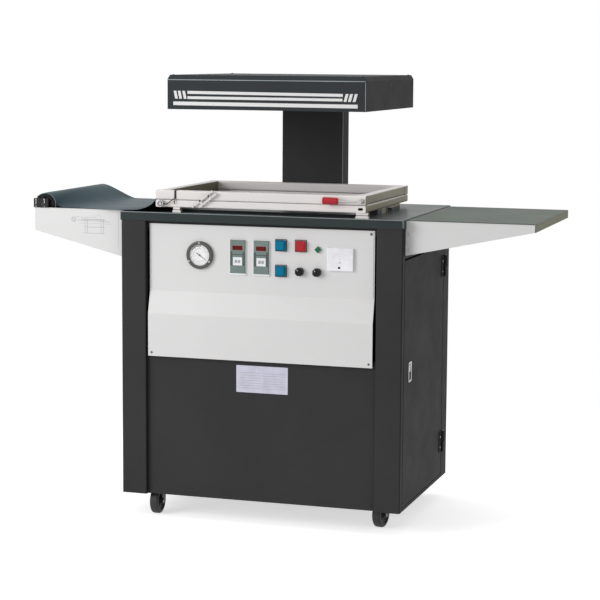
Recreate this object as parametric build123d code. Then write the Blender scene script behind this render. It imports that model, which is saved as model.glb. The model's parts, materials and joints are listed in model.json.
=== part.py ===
from build123d import *
import math
import os

os.makedirs("parts", exist_ok=True)

# Vacuum skin packaging machine on casters, in millimetres, +Z up, front towards -Y.
# While it is built, x = 0 is the middle of the cabinet, y = 0 its front face and z = 0 the floor.
# At the end every piece is shifted so that the origin lies on the floor under the middle.

# Used all over
sheet = 2.0
running_gap = 0.05
seat_gap = 0.3
overcut = 1.0

# Cabinet and table
table_width = 800.0
table_depth = 540.0
table_height = 850.0
table_plate = 3.0
apron_height = 24.0
apron_sheet = 2.0
table_edge_radius = 2.5
skirt_clearance = 65.0
pillar_width = 72.0
pillar_depth = 23.0
pillar_fold_radius = 4.0
front_panel_recess = 14.0
pan_rim = 15.0
slot_columns = 6
slot_rows = 2
slot_length = 70.0
slot_height = 6.0
slot_pitch_x = 95.0
slot_pitch_z = 22.0
slot_level = 190.0

# Control panel, downwards from the table
panel_side_inset = 81.0
panel_sheet = 2.0
panel_recess = 15.0
panel_lower_recess = 0.0
panel_top_drop = 32.0
panel_upper_height = 184.0
panel_slant_height = 62.0
panel_lower_height = 118.0
panel_lip = 14.0
cross_rail_lap = 12.0

# Side door
rear_post_depth = 70.0
sill_height = 15.0
door_head = 110.0
door_gap = 5.0
door_fold = 18.0
door_pan_gap = 6.0
hinge_height = 60.0
hinge_reach = 27.0
lower_hinge_rise = 92.0
upper_hinge_drop = 58.0
hinge_barrel_radius = 5.0
hinge_pin_radius = 2.5
hinge_leaf = 2.0
hinge_split_gap = 0.5
latch_set_back = 68.0
latch_rise = 355.0
latch_width = 32.0
latch_height = 54.0
latch_rim = 4.0
latch_sheet = 1.5
latch_depth = 13.0
latch_slack = 0.5

# Column and heater hood
column_width = 186.0
column_depth = 56.0
column_sheet = 3.0
hood_width = 561.0
hood_front = 50.0
hood_depth = 508.0
hood_clearance = 278.0
hood_skirt_height = 81.0
hood_lid_height = 12.0
hood_lid_inset = 6.0
hood_lip = 12.0
reflector_sheet = 1.5
reflector_level = 6.0
reflector_height = 38.0
heater_rod_radius = 5.0
heater_rods = 7
heater_rod_drop = 16.0

# Film frame, lift and clamp
frame_width = 592.0
frame_front = 2.0
frame_depth = 444.0
frame_rest_height = 15.0
rail_width = 28.0
lower_rail_height = 19.5
frame_gap = 1.0
upper_rail_height = 24.5
rail_edge_radius = 4.0
rail_slot_width = 14.0
rail_slot_height = 7.0
rail_end_step = 1.5
guide_rod_radius = 6.0
guide_rod_length = 215.0
rod_hole_slack = 2.0
guide_rod_rows = (-45.0, 96.0)
guide_block_lengths = (104.0, 88.0)
guide_block_width = 24.0
left_rest_inset = 59.0
left_rest_width = 20.0
right_rest_inset = 5.0
right_rest_width = 32.0
rest_depth = 14.0
rest_set_back = 4.0
rest_plate_overhang = 2.0
rest_plate_height = 5.0
corner_knob_inset = 18.0
corner_knob_radius = 9.5
corner_knob_length = 9.0
corner_knob_neck = 6.0
corner_knob_flutes = 14
corner_knob_flute_radius = 1.0
frame_hinge_barrel = 4.0
frame_hinge_pin = 2.0
frame_hinge_leaf = 2.0
frame_hinge_curl = 1.0
frame_hinge_width = 40.0
frame_hinge_leaf_height = 14.0
frame_hinge_inset = 96.0

# Clamp lever along the upper front rail
lever_rod_radius = 2.5
lever_grip_radius = 10.0
lever_grip_neck = 8.5
lever_grip_length = 42.0
lever_grip_edge = 3.0
lever_reach = 61.0
lever_inset = 10.0
lever_rise = 10.5
lever_stand_off = 16.0
lever_pin_radius = 3.0
lever_hub_radius = 7.0
lever_hub_width = 8.0
lever_head_radius = 5.0

# Toggle latch across the front rails: two bars side by side with cross links
toggle_inset = 111.0
toggle_rise = 4.0
toggle_angle = 38.0
toggle_bar_width = 6.0
toggle_sheet = 3.0
toggle_stand_off = 6.0
toggle_long_bar = 68.0
toggle_bar_spacing = 12.4
toggle_short_bar = (15.0, 73.0)
toggle_links = (25.0, 56.0)
toggle_pin_radius = 2.0
toggle_rivet_radius = 2.4
toggle_rivet_head = 1.2
toggle_head_radius = 3.4

# Vacuum platen inside the film frame
platen_clearance = 13.0
platen_thickness = 7.0
platen_edge_radius = 3.0
platen_hole_radius = 2.5
platen_hole_columns = 7
platen_hole_rows = 5
platen_hole_margin = 39.0

# Film roll and its tray on the left
tray_side_front = 30.0
tray_sheet = 2.0
film_tray_reach = 270.0
film_tray_drop = 130.0
film_tray_end_height = 63.0
film_tray_depth = 424.0
film_deck_reach = 165.0
film_deck_drop = 7.0
film_deck_fold = 20.0
roll_inset = 243.0
roll_rise = 8.0
roll_radius = 32.0
roll_end_gap = 12.0
roll_core_radius = 19.0
roll_shaft_radius = 6.0
chuck_radius = 28.0
chuck_face_radius = 21.0
chuck_length = 5.0
chuck_ribs = 12
chuck_rib_width = 3.0
chuck_rib_depth = 1.5
film_thickness = 0.5
film_edge_gap = 2.0
film_leave_angle = 40.0
film_fall_run = 75.0
film_pull = 10.0
film_rise_length = 90.0
holder_width = 44.0
holder_offset = 7.0
holder_thickness = 9.0
holder_overhang = 3.0
holder_height = 26.0
holder_corner = 3.0
holder_knobs = (-8.0, 6.0)
holder_knob_radius = 4.0
holder_knob_height = 7.0

# Outfeed tray on the right
outfeed_reach = 343.0
outfeed_depth = 492.0
outfeed_step = 2.0
outfeed_gap = 3.0
outfeed_drop = 94.0
outfeed_end_height = 22.0
outfeed_flange = 20.0

# Panel instruments, by their middle, downwards from the panel's top edge
gauge_x = -172.0
gauge_drop = 82.0
gauge_bezel_radius = 38.0
gauge_dial_radius = 29.0
gauge_can_radius = 31.0
gauge_bezel_height = 9.0
gauge_bezel_edge = 3.0
gauge_can_depth = 30.0
gauge_recess = 5.0
instrument_slack = 0.5
timer_places = (-63.0, 4.0)
timer_drop = 82.0
timer_width = 43.0
timer_height = 90.0
timer_bezel = 6.0
timer_body_depth = 60.0
timer_body_inset = 3.0
timer_window_width = 27.0
timer_window_height = 11.0
timer_window_rise = 24.0
timer_key_height = 23.0
timer_key_drop = 12.5
timer_window_recess = 1.5
timer_edge_radius = 1.5
button_size = 28.0
button_height = 8.0
button_travel = 3.0
button_edge_radius = 2.0
button_stem_radius = 6.0
button_stem_length = 30.0
button_stem_gap = 0.3
upper_row_drop = 47.0
lower_row_drop = 116.0
button_column_x = 59.0
stop_button_x = 114.5
knob_places = (112.5, 161.0)
knob_radius = 11.5
knob_height = 14.0
knob_flutes = 12
knob_flute_radius = 1.6
knob_shaft_radius = 3.0
knob_shaft_length = 20.0
knob_stand_off = 1.0
knob_taper = 4.0
lamp_x = 163.0
lamp_drop = 55.0
lamp_side = 13.0
lamp_corner = 1.0
lamp_height = 6.0
lamp_stem_radius = 4.0
lamp_stem_length = 20.0
meter_x = 225.5
meter_drop = 79.0
meter_width = 72.0
meter_height = 61.0
meter_bezel = 8.0
meter_body_radius = 25.0
meter_body_depth = 30.0
meter_window_inset = 5.0
meter_window_recess = 1.5
meter_window_bottom = 19.0

# Casters
caster_inset = 84.0
caster_set_back = 82.0
caster_trail = 24.0
caster_headings = {"front_left": -88.0, "front_right": 82.0, "rear_left": 104.0, "rear_right": 75.0}
wheel_radius = 37.5
wheel_width = 24.0
wheel_edge_radius = 6.0
tyre_press = 0.3
wheel_dish_margin = 11.0
wheel_hub_radius = 12.0
wheel_hub_recess = 3.0
axle_radius = 4.0
axle_boss_radius = 10.0
axle_end = 3.0
fork_sheet = 3.0
fork_side_gap = 2.0
fork_top_gap = 6.0
fork_leg_corner = 6.0
swivel_race_radius = 22.0
swivel_race_height = 9.0
swivel_gap = 0.3
caster_plate_width = 64.0
caster_plate_thickness = 3.0
caster_plate_corner = 6.0
swivel_pin_radius = 5.0

# Worked out from the sizes above
side_x = table_width / 2 - apron_sheet
cabinet_back = table_depth - apron_sheet
plate_under = table_height - table_plate
apron_bottom = table_height - apron_height
pillar_inner = side_x - pillar_width
pillar_back = apron_sheet + pillar_depth
axle_level = wheel_radius - tyre_press
wheel_top = axle_level + wheel_radius
fork_crown = wheel_top + fork_top_gap
race_top = fork_crown + fork_sheet + swivel_race_height
caster_height = race_top + swivel_gap + caster_plate_thickness
panel_width = table_width - 2 * panel_side_inset
panel_top = table_height - panel_top_drop
panel_fold_high = panel_top - panel_upper_height
panel_fold_low = panel_fold_high - panel_slant_height
panel_bottom = panel_fold_low - panel_lower_height
door_front = pillar_back
door_back = table_depth - rear_post_depth
door_bottom = skirt_clearance + sill_height
door_top = table_height - door_head
door_inner_x = side_x - door_fold
hinge_levels = (door_bottom + lower_hinge_rise, door_top - upper_hinge_drop)
door_hinge_x = side_x + hinge_barrel_radius
door_hinge_y = door_back + door_gap / 2
latch_y = door_front + latch_set_back
latch_z = door_bottom + latch_rise
hood_bottom = table_height + hood_clearance
hood_back = hood_front + hood_depth
hood_top = hood_bottom + hood_skirt_height + hood_lid_height
column_front = table_depth - column_depth
lower_rail_bottom = table_height + frame_rest_height
lower_rail_top = lower_rail_bottom + lower_rail_height
upper_rail_bottom = lower_rail_top + frame_gap
upper_rail_top = upper_rail_bottom + upper_rail_height
frame_back = frame_front + frame_depth
frame_middle_y = frame_front + frame_depth / 2
window_width = frame_width - 2 * rail_width
window_depth = frame_depth - 2 * rail_width
rail_middle_x = frame_width / 2 - rail_width / 2
frame_hinge_y = frame_back + frame_hinge_leaf + frame_hinge_barrel - frame_hinge_curl
frame_hinge_z = lower_rail_top + frame_gap / 2
guide_rod_columns = (-rail_middle_x, rail_middle_x)
guide_rod_places = [(x, frame_middle_y + row) for x in guide_rod_columns for row in guide_rod_rows]
lever_pivot_x = frame_width / 2 - lever_inset
lever_level = upper_rail_bottom + lever_rise
lever_y = frame_front - lever_stand_off
toggle_x = -frame_width / 2 + toggle_inset
toggle_z = lower_rail_bottom + toggle_rise
toggle_y = frame_front - toggle_stand_off
platen_width = window_width - 2 * platen_clearance
platen_depth = window_depth - 2 * platen_clearance
platen_hole_pitch_x = (platen_width - 2 * platen_hole_margin) / (platen_hole_columns - 1)
platen_hole_pitch_y = (platen_depth - 2 * platen_hole_margin) / (platen_hole_rows - 1)
tray_side_back = tray_side_front + film_tray_depth
film_deck_level = table_height - film_deck_drop
roll_x = -table_width / 2 - roll_inset
roll_z = table_height + roll_rise
roll_front = tray_side_front + roll_end_gap
roll_back = tray_side_back - roll_end_gap
outfeed_level = table_height - outfeed_step
gauge_z = panel_top - gauge_drop
timer_z = panel_top - timer_drop
upper_row_z = panel_top - upper_row_drop
lower_row_z = panel_top - lower_row_drop
lamp_z = panel_top - lamp_drop
meter_z = panel_top - meter_drop
button_places = {
    "vacuum_button": (button_column_x, upper_row_z),
    "heat_button": (button_column_x, lower_row_z),
    "stop_button": (stop_button_x, upper_row_z),
}
caster_x = table_width / 2 - caster_inset
caster_places = {
    "front_left": (-caster_x, caster_set_back),
    "front_right": (caster_x, caster_set_back),
    "rear_left": (-caster_x, table_depth - caster_set_back),
    "rear_right": (caster_x, table_depth - caster_set_back),
}


def block(x, y, z):
    """Box between two values on each axis."""
    size = Box(x[1] - x[0], y[1] - y[0], z[1] - z[0])
    return Pos((x[0] + x[1]) / 2, (y[0] + y[1]) / 2, (z[0] + z[1]) / 2) * size


def span(middle, size):
    """Two values on one axis, a size apart about a middle."""
    return (middle - size / 2, middle + size / 2)


def rod(start, end, radius):
    """Round bar from one point to another."""
    axis = Vector(*end) - Vector(*start)
    return extrude(Plane(origin=start, z_dir=axis) * Circle(radius), axis.length)


def front_plane(x, y, z):
    """Plane that faces the front, with its origin at a point."""
    return Plane(origin=(x, y, z), x_dir=(1, 0, 0), z_dir=(0, -1, 0))


def side_profile(points, start_y, depth):
    """Closed outline in the XZ plane, drawn out towards +Y."""
    outline = make_face(Polyline(*points, close=True))
    return extrude(front_plane(0, start_y, 0) * outline, -depth)


def front_bar(x, z, y, radius):
    """Round bar along Y between two values of y."""
    return rod((x, y[0], z), (x, y[1], z), radius)


def make_pillar(side):
    """Front corner post: a folded channel, open towards the back."""
    outer = Rectangle(pillar_width, pillar_depth)
    corners = outer.vertices().sort_by(Axis.Y)[:2]
    outer = fillet(corners, pillar_fold_radius)
    inner = Pos(0, sheet) * Rectangle(pillar_width - 2 * sheet, pillar_depth)
    corners = inner.vertices().sort_by(Axis.Y)[:2]
    inner = fillet(corners, pillar_fold_radius - sheet)
    middle = side * (side_x - pillar_width / 2)
    post = extrude(outer - inner, plate_under - skirt_clearance)
    return Pos(middle, apron_sheet + pillar_depth / 2, skirt_clearance) * post


def make_base_pan():
    """Raised floor of the cabinet with an upturned rim, over the casters."""
    x = (-side_x + sheet, door_inner_x - door_pan_gap)
    y = (pillar_back, cabinet_back - sheet)
    pan = block(x, y, (caster_height, caster_height + pan_rim))
    hollow_x = (x[0] + sheet, x[1] - sheet)
    hollow_y = (y[0] + sheet, y[1] - sheet)
    return pan - block(hollow_x, hollow_y, (caster_height + sheet, table_height))


def make_left_side_panel():
    z = (skirt_clearance, plate_under)
    return block((-side_x, -side_x + sheet), (pillar_back, cabinet_back), z)


def make_rear_panel():
    """Back sheet with two rows of cooling slots near its foot."""
    z = (skirt_clearance, plate_under)
    panel = block((-side_x + sheet, side_x - sheet), (cabinet_back - sheet, cabinet_back), z)
    grid = GridLocations(slot_pitch_x, slot_pitch_z, slot_columns, slot_rows)
    slots = Sketch() + grid * SlotOverall(slot_length, slot_height)
    return panel - extrude(front_plane(0, cabinet_back, slot_level) * slots, sheet)


def make_right_rear_post():
    """Folded corner post behind the door."""
    z = (skirt_clearance, plate_under)
    y = (door_back + door_gap, cabinet_back - sheet)
    outer = block((door_inner_x, side_x), y, z)
    inner = block((door_inner_x - overcut, side_x - sheet), (y[0] + sheet, y[1] + overcut), z)
    return outer - inner


def make_door_rails():
    """Rail above the door and sill below it, both folded inwards."""
    y = (pillar_back, door_back + door_gap)
    header = block((door_inner_x, side_x), y, (door_top + door_gap, plate_under))
    hollow_z = (door_top + door_gap + sheet, table_height)
    header -= block((door_inner_x - overcut, side_x - sheet), y, hollow_z)
    sill = block((side_x - sheet, side_x), y, (skirt_clearance, door_bottom - door_gap))
    return header + sill


def make_lower_front_panel():
    y = (front_panel_recess, front_panel_recess + sheet)
    return block((-pillar_inner, pillar_inner), y, (skirt_clearance, panel_bottom + panel_lip))


def make_control_panel():
    """Folded panel: recessed upper face, slanting band and lower face flush with the posts."""
    top = panel_recess
    low = panel_lower_recess
    t = panel_sheet
    points = [
        (top, panel_top),
        (top, panel_fold_high),
        (low, panel_fold_low),
        (low, panel_bottom),
        (front_panel_recess, panel_bottom),
        (front_panel_recess, panel_bottom + t),
        (low + t, panel_bottom + t),
        (low + t, panel_fold_low),
        (top + t, panel_fold_high),
        (top + t, panel_top),
    ]
    plane = Plane(origin=(-panel_width / 2, 0, 0), x_dir=(0, 1, 0), z_dir=(1, 0, 0))
    panel = extrude(plane * make_face(Polyline(*points, close=True)), panel_width)
    return panel - panel_holes()


def panel_holes():
    """Cutters for everything that sits in the upper panel face."""
    y = (panel_recess - overcut, panel_recess + panel_sheet + overcut)
    holes = front_bar(gauge_x, gauge_z, y, gauge_can_radius + instrument_slack)
    holes += front_bar(meter_x, meter_z, y, meter_body_radius + instrument_slack)
    holes += front_bar(lamp_x, lamp_z, y, lamp_stem_radius + instrument_slack)
    for x in knob_places:
        holes += front_bar(x, lower_row_z, y, knob_shaft_radius + running_gap)
    for x, z in button_places.values():
        holes += front_bar(x, z, y, button_stem_radius + button_stem_gap)
    width = timer_width - 2 * timer_body_inset + 2 * instrument_slack
    height = timer_height - 2 * timer_body_inset + 2 * instrument_slack
    for x in timer_places:
        holes += block(span(x, width), y, span(timer_z, height))
    return holes


def make_front_cross_rail():
    """Rail under the front of the table that carries the top of the control panel."""
    y = (panel_recess + panel_sheet, panel_recess + panel_sheet + sheet)
    return block((-pillar_inner, pillar_inner), y, (panel_top - cross_rail_lap, plate_under))


def hinge_knuckle(z, leaf_y, leaf_z, leaf_span):
    """Barrel with a leaf on the outside of the right cabinet wall."""
    ends = [(door_hinge_x, door_hinge_y, level) for level in z]
    tongue = block((side_x, side_x + hinge_leaf), leaf_y, z)
    leaf = block((side_x, side_x + hinge_leaf), leaf_span, leaf_z)
    return rod(*ends, hinge_barrel_radius) + tongue + leaf


def make_door_hinges():
    """Fixed lower knuckles on the rear post, each with its pin."""
    hinges = []
    near = door_hinge_y + hinge_barrel_radius + hinge_split_gap
    far = door_hinge_y + hinge_reach
    for level in hinge_levels:
        full = span(level, hinge_height)
        hinge = hinge_knuckle((full[0], level), (door_hinge_y, far), full, (near, far))
        pin_ends = [(door_hinge_x, door_hinge_y, z) for z in full]
        hinges.append(hinge + rod(*pin_ends, hinge_pin_radius))
    return Compound(hinges)


def make_side_door():
    """Pan door with folded edges, the upper hinge knuckles and a hole for the latch."""
    y = (door_front + door_gap, door_back)
    outer = block((door_inner_x, side_x), y, (door_bottom, door_top))
    hollow_y = (y[0] + sheet, y[1] - sheet)
    hollow_z = (door_bottom + sheet, door_top - sheet)
    door = outer - block((door_inner_x - overcut, side_x - sheet), hollow_y, hollow_z)
    near = door_hinge_y - hinge_barrel_radius - hinge_split_gap
    far = door_hinge_y - hinge_reach
    for level in hinge_levels:
        full = span(level, hinge_height)
        door += hinge_knuckle((level + hinge_split_gap, full[1]), (far, door_hinge_y), full, (far, near))
        bore_ends = [(door_hinge_x, door_hinge_y, z) for z in full]
        door -= rod(*bore_ends, hinge_pin_radius + running_gap)
    hole_y, hole_z = latch_hole()
    return door - block((door_inner_x, side_x + overcut), hole_y, hole_z)


def latch_hole():
    """Opening in the door skin that the latch cup drops into."""
    y = span(latch_y, latch_width - 2 * latch_rim)
    z = span(latch_z, latch_height - 2 * latch_rim)
    return y, z


def make_door_latch():
    """Flush pull: a rim on the skin and a cup behind it with a finger bar."""
    rim = block((side_x, side_x + latch_sheet), span(latch_y, latch_width), span(latch_z, latch_height))
    rim = fillet(rim.edges().filter_by(Axis.X), latch_rim)
    hole_y, hole_z = latch_hole()
    cup_y = (hole_y[0] + latch_slack, hole_y[1] - latch_slack)
    cup_z = (hole_z[0] + latch_slack, hole_z[1] - latch_slack)
    cup = block((side_x - latch_depth, side_x), cup_y, cup_z)
    inside_x = (side_x - latch_depth + latch_sheet, side_x + latch_sheet + overcut)
    inside_y = (cup_y[0] + latch_sheet, cup_y[1] - latch_sheet)
    inside_z = (cup_z[0] + latch_sheet, cup_z[1] - latch_sheet)
    bar = block((side_x - latch_depth, side_x), cup_y, (latch_z, cup_z[1]))
    return rim + cup - block(inside_x, inside_y, inside_z) + bar


def make_table_top():
    """Folded top with an apron all round and holes for the guide rods."""
    top = block(span(0, table_width), (0, table_depth), (apron_bottom, table_height))
    top = fillet(top.edges().filter_by(Axis.Z) + top.edges().group_by(Axis.Z)[-1], table_edge_radius)
    top -= block((-side_x, side_x), (apron_sheet, cabinet_back), (apron_bottom, plate_under))
    for x, y in guide_rod_places:
        top -= rod((x, y, plate_under), (x, y, table_height), guide_rod_radius + rod_hole_slack)
    return top


def make_vacuum_platen():
    """Raised plate with a grid of suction holes."""
    plate = extrude(RectangleRounded(platen_width, platen_depth, platen_edge_radius), platen_thickness)
    grid = GridLocations(platen_hole_pitch_x, platen_hole_pitch_y, platen_hole_columns, platen_hole_rows)
    plate -= extrude(Sketch() + grid * Circle(platen_hole_radius), platen_thickness)
    return Pos(0, frame_middle_y, table_height) * plate


def make_column():
    """Upright rectangular tube, closed at the top."""
    y = (column_front, table_depth)
    z = (table_height, hood_top - sheet)
    outer = block(span(0, column_width), y, z)
    outer = fillet(outer.edges().filter_by(Axis.Z), column_sheet)
    inner_y = (y[0] + column_sheet, y[1] - column_sheet)
    inner_z = (z[0] - overcut, z[1] - column_sheet)
    return outer - block(span(0, column_width - 2 * column_sheet), inner_y, inner_z)


def hood_block(inset, z):
    """Box on the hood's outline, moved in from it by an inset."""
    return block(span(0, hood_width - 2 * inset), (hood_front + inset, hood_back - inset), z)


def make_hood_skirt():
    """Four folded walls with a lip turned in along the bottom."""
    z = (hood_bottom, hood_bottom + hood_skirt_height)
    skirt = hood_block(0, z)
    skirt = fillet(skirt.edges().filter_by(Axis.Z), sheet)
    skirt -= hood_block(sheet, (z[0] + sheet, z[1]))
    return skirt - hood_block(hood_lip, (z[0], z[0] + sheet))


def make_hood_lid():
    """Shallow lid with bevelled edges, hollow underneath."""
    base = hood_bottom + hood_skirt_height
    middle = Pos(0, hood_front + hood_depth / 2, 0)
    high_size = (hood_width - 2 * hood_lid_inset, hood_depth - 2 * hood_lid_inset)
    low = middle * Pos(0, 0, base) * Rectangle(hood_width, hood_depth)
    high = middle * Pos(0, 0, hood_top) * Rectangle(*high_size)
    inner_low = middle * Pos(0, 0, base) * Rectangle(hood_width - 2 * sheet, hood_depth - 2 * sheet)
    inner_size = (high_size[0] - 2 * sheet, high_size[1] - 2 * sheet)
    inner_high = middle * Pos(0, 0, hood_top - sheet) * Rectangle(*inner_size)
    return loft([low, high]) - loft([inner_low, inner_high])


def make_heater_reflector():
    """Open-bottomed bright tray above the heater rods."""
    width = hood_width - 2 * sheet
    y = (hood_front + sheet, column_front)
    z = (hood_bottom + reflector_level, hood_bottom + reflector_level + reflector_height)
    hollow_y = (y[0] + reflector_sheet, y[1] - reflector_sheet)
    hollow = block(span(0, width - 2 * reflector_sheet), hollow_y, (z[0], z[1] - reflector_sheet))
    return block(span(0, width), y, z) - hollow


def make_heater_elements():
    """Row of straight heater rods that end in the reflector's side walls."""
    x = hood_width / 2 - sheet - reflector_sheet
    y_low = hood_front + sheet + reflector_sheet
    pitch = (column_front - reflector_sheet - y_low) / heater_rods
    z = hood_bottom + reflector_level + reflector_height - heater_rod_drop
    rods = []
    for index in range(heater_rods):
        y = y_low + pitch / 2 + pitch * index
        rods.append(rod((-x, y, z), (x, y, z), heater_rod_radius))
    return Compound(rods)


def rail_along_x(length, y, z):
    """Front or back rail of the film frame with rounded edges."""
    face = RectangleRounded(y[1] - y[0], z[1] - z[0], rail_edge_radius)
    start = (-length / 2, (y[0] + y[1]) / 2, (z[0] + z[1]) / 2)
    return extrude(Plane(origin=start, x_dir=(0, 1, 0), z_dir=(1, 0, 0)) * face, length)


def rail_along_y(x, y, z):
    """Side rail of the film frame with rounded edges."""
    face = RectangleRounded(rail_width, z[1] - z[0], rail_edge_radius)
    return extrude(front_plane(x, y[0], (z[0] + z[1]) / 2) * face, y[0] - y[1])


def frame_knuckle(x, z):
    """Hinge barrel behind the film frame with a leaf on the rail's back face."""
    ends = [(end, frame_hinge_y, frame_hinge_z) for end in x]
    barrel = rod(*ends, frame_hinge_barrel)
    leaf = block(x, (frame_back, frame_back + frame_hinge_leaf), z)
    return barrel + leaf


def frame_hinge_spans():
    """The two halves of each frame hinge along X, parted by the running gap."""
    for side in (-1, 1):
        full = span(side * (frame_width / 2 - frame_hinge_inset), frame_hinge_width)
        middle = (full[0] + full[1]) / 2
        yield full, (full[0], middle - hinge_split_gap / 2), (middle + hinge_split_gap / 2, full[1])


def make_lower_frame():
    """Lower film frame: slotted side rails with the cross rails butted between them."""
    z = (lower_rail_bottom, lower_rail_top)
    frame = rail_along_y(-rail_middle_x, (frame_front, frame_back), z)
    frame += rail_along_y(rail_middle_x, (frame_front, frame_back), z)
    bar_length = window_width + 2 * rail_edge_radius
    frame += rail_along_x(bar_length, (frame_front, frame_front + rail_width), z)
    frame += rail_along_x(bar_length, (frame_back - rail_width, frame_back), z)
    slot = SlotOverall(rail_slot_width, rail_slot_height)
    for side in (-1, 1):
        plane = front_plane(side * rail_middle_x, frame_front - overcut, (z[0] + z[1]) / 2)
        frame -= extrude(plane * slot, -(frame_depth + 2 * overcut))
    for full, left, _ in frame_hinge_spans():
        frame += frame_knuckle(left, (frame_hinge_z - frame_hinge_leaf_height, frame_hinge_z))
        pin_ends = [(x, frame_hinge_y, frame_hinge_z) for x in full]
        frame += rod(*pin_ends, frame_hinge_pin)
    return frame


def make_upper_frame():
    """Upper film frame: full-length cross rails with the side rails set back between them."""
    z = (upper_rail_bottom, upper_rail_top)
    frame = rail_along_x(frame_width, (frame_front, frame_front + rail_width), z)
    frame += rail_along_x(frame_width, (frame_back - rail_width, frame_back), z)
    y = (frame_front + rail_width - rail_edge_radius, frame_back - rail_width + rail_edge_radius)
    frame += rail_along_y(-rail_middle_x + rail_end_step, y, z)
    frame += rail_along_y(rail_middle_x - rail_end_step, y, z)
    frame -= block(span(0, window_width), (frame_front + rail_width, frame_back - rail_width), z)
    for full, _, right in frame_hinge_spans():
        bore_ends = [(x, frame_hinge_y, frame_hinge_z) for x in full]
        knuckle = frame_knuckle(right, (frame_hinge_z, frame_hinge_z + frame_hinge_leaf_height))
        frame += knuckle - rod(*bore_ends, frame_hinge_pin + running_gap)
    return frame


def make_corner_knob():
    """Fluted clamping knob on a neck at the lower frame's left front corner."""
    x = -frame_width / 2 + corner_knob_inset
    z = (lower_rail_bottom + lower_rail_top) / 2
    back = frame_front - corner_knob_neck
    flutes = PolarLocations(corner_knob_radius, corner_knob_flutes) * Circle(corner_knob_flute_radius)
    knob = extrude(front_plane(x, back, z) * (Circle(corner_knob_radius) - flutes), corner_knob_length)
    return knob + front_bar(x, z, (back, frame_front), rail_slot_height)


def make_guide_rods():
    """Four rods under the lower frame that slide through the guide blocks."""
    z = (lower_rail_bottom - guide_rod_length, lower_rail_bottom)
    return Compound([rod((x, y, z[0]), (x, y, z[1]), guide_rod_radius) for x, y in guide_rod_places])


def make_guide_blocks():
    """Bored blocks beside the platen and two rests under the front rail."""
    blocks = []
    full = (table_height, lower_rail_bottom)
    for row, length in zip(guide_rod_rows, guide_block_lengths):
        y = frame_middle_y + row
        for x in guide_rod_columns:
            piece = block(span(x, guide_block_width), span(y, length), full)
            bore = rod((x, y, full[0]), (x, y, full[1]), guide_rod_radius + running_gap)
            blocks.append(piece - bore)
    rest_y = (frame_front + rest_set_back, frame_front + rest_set_back + rest_depth)
    left = -frame_width / 2 + left_rest_inset
    right = frame_width / 2 + right_rest_inset
    for x in (span(left, left_rest_width), (right - right_rest_width, right)):
        rest = block(x, rest_y, full)
        plate_x = (x[0] - rest_plate_overhang, x[1] + rest_plate_overhang)
        blocks.append(rest + block(plate_x, rest_y, (table_height, table_height + rest_plate_height)))
    return Compound(blocks)


def make_lever_pivot():
    """Boss and shouldered stud on the upper front rail that carry the clamp lever."""
    hub = (lever_y + lever_hub_width / 2, lever_y - lever_hub_width / 2)
    boss = front_bar(lever_pivot_x, lever_level, (hub[0] + hinge_split_gap, frame_front), lever_hub_radius)
    head_back = hub[1] - hinge_split_gap
    stud = front_bar(lever_pivot_x, lever_level, (head_back, frame_front), lever_pin_radius)
    head = front_bar(lever_pivot_x, lever_level, (head_back - sheet, head_back), lever_head_radius)
    return boss + stud + head


def make_clamp_lever():
    """Round rod with a bored hub at the pivot."""
    hub_y = span(lever_y, lever_hub_width)
    bar_left = lever_pivot_x - lever_reach - lever_grip_length / 2
    bar = rod((bar_left, lever_y, lever_level), (lever_pivot_x, lever_y, lever_level), lever_rod_radius)
    bore = front_bar(lever_pivot_x, lever_level, hub_y, lever_pin_radius + running_gap)
    return front_bar(lever_pivot_x, lever_level, hub_y, lever_hub_radius) + bar - bore


def make_lever_grip():
    """Tapered hand grip with rounded ends on the end of the lever rod."""
    right = lever_pivot_x - lever_reach
    neck = Plane(origin=(right, lever_y, lever_level), z_dir=(-1, 0, 0))
    taper = Cone(lever_grip_neck, lever_grip_radius, lever_grip_length)
    grip = neck * Pos(0, 0, lever_grip_length / 2) * taper
    grip = fillet(grip.edges().filter_by(GeomType.CIRCLE), lever_grip_edge)
    bore_end = (right - lever_grip_length / 2, lever_y, lever_level)
    return grip - rod((right + overcut, lever_y, lever_level), bore_end, lever_rod_radius)


def toggle_plane(y):
    """Plane on the toggle's pivot whose X axis runs up along its bars."""
    angle = math.radians(toggle_angle)
    along = (math.cos(angle), 0, math.sin(angle))
    return Plane(origin=(toggle_x, y, toggle_z), x_dir=along, z_dir=(0, -1, 0))


def make_toggle_latch():
    """Two parallel bars joined by cross links with rivets, leaning across the front rails."""
    long_bar = Pos(toggle_long_bar / 2, 0) * SlotCenterToCenter(toggle_long_bar, toggle_bar_width)
    start, end = toggle_short_bar
    short_bar = SlotCenterToCenter(end - start, toggle_bar_width)
    face = long_bar + Pos((start + end) / 2, -toggle_bar_spacing) * short_bar
    link = Rot(0, 0, 90) * SlotCenterToCenter(toggle_bar_spacing, toggle_bar_width)
    for along in toggle_links:
        face += Pos(along, -toggle_bar_spacing / 2) * link
    latch = extrude(toggle_plane(toggle_y) * face, toggle_sheet)
    rivets = Sketch() + [Pos(along, 0) * Circle(toggle_rivet_radius) for along in toggle_links]
    rivets += [Pos(along, -toggle_bar_spacing) * Circle(toggle_rivet_radius) for along in toggle_links]
    latch += extrude(toggle_plane(toggle_y) * rivets, toggle_sheet + toggle_rivet_head)
    return latch - extrude(toggle_plane(toggle_y) * Circle(toggle_pin_radius + running_gap), toggle_sheet)


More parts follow.
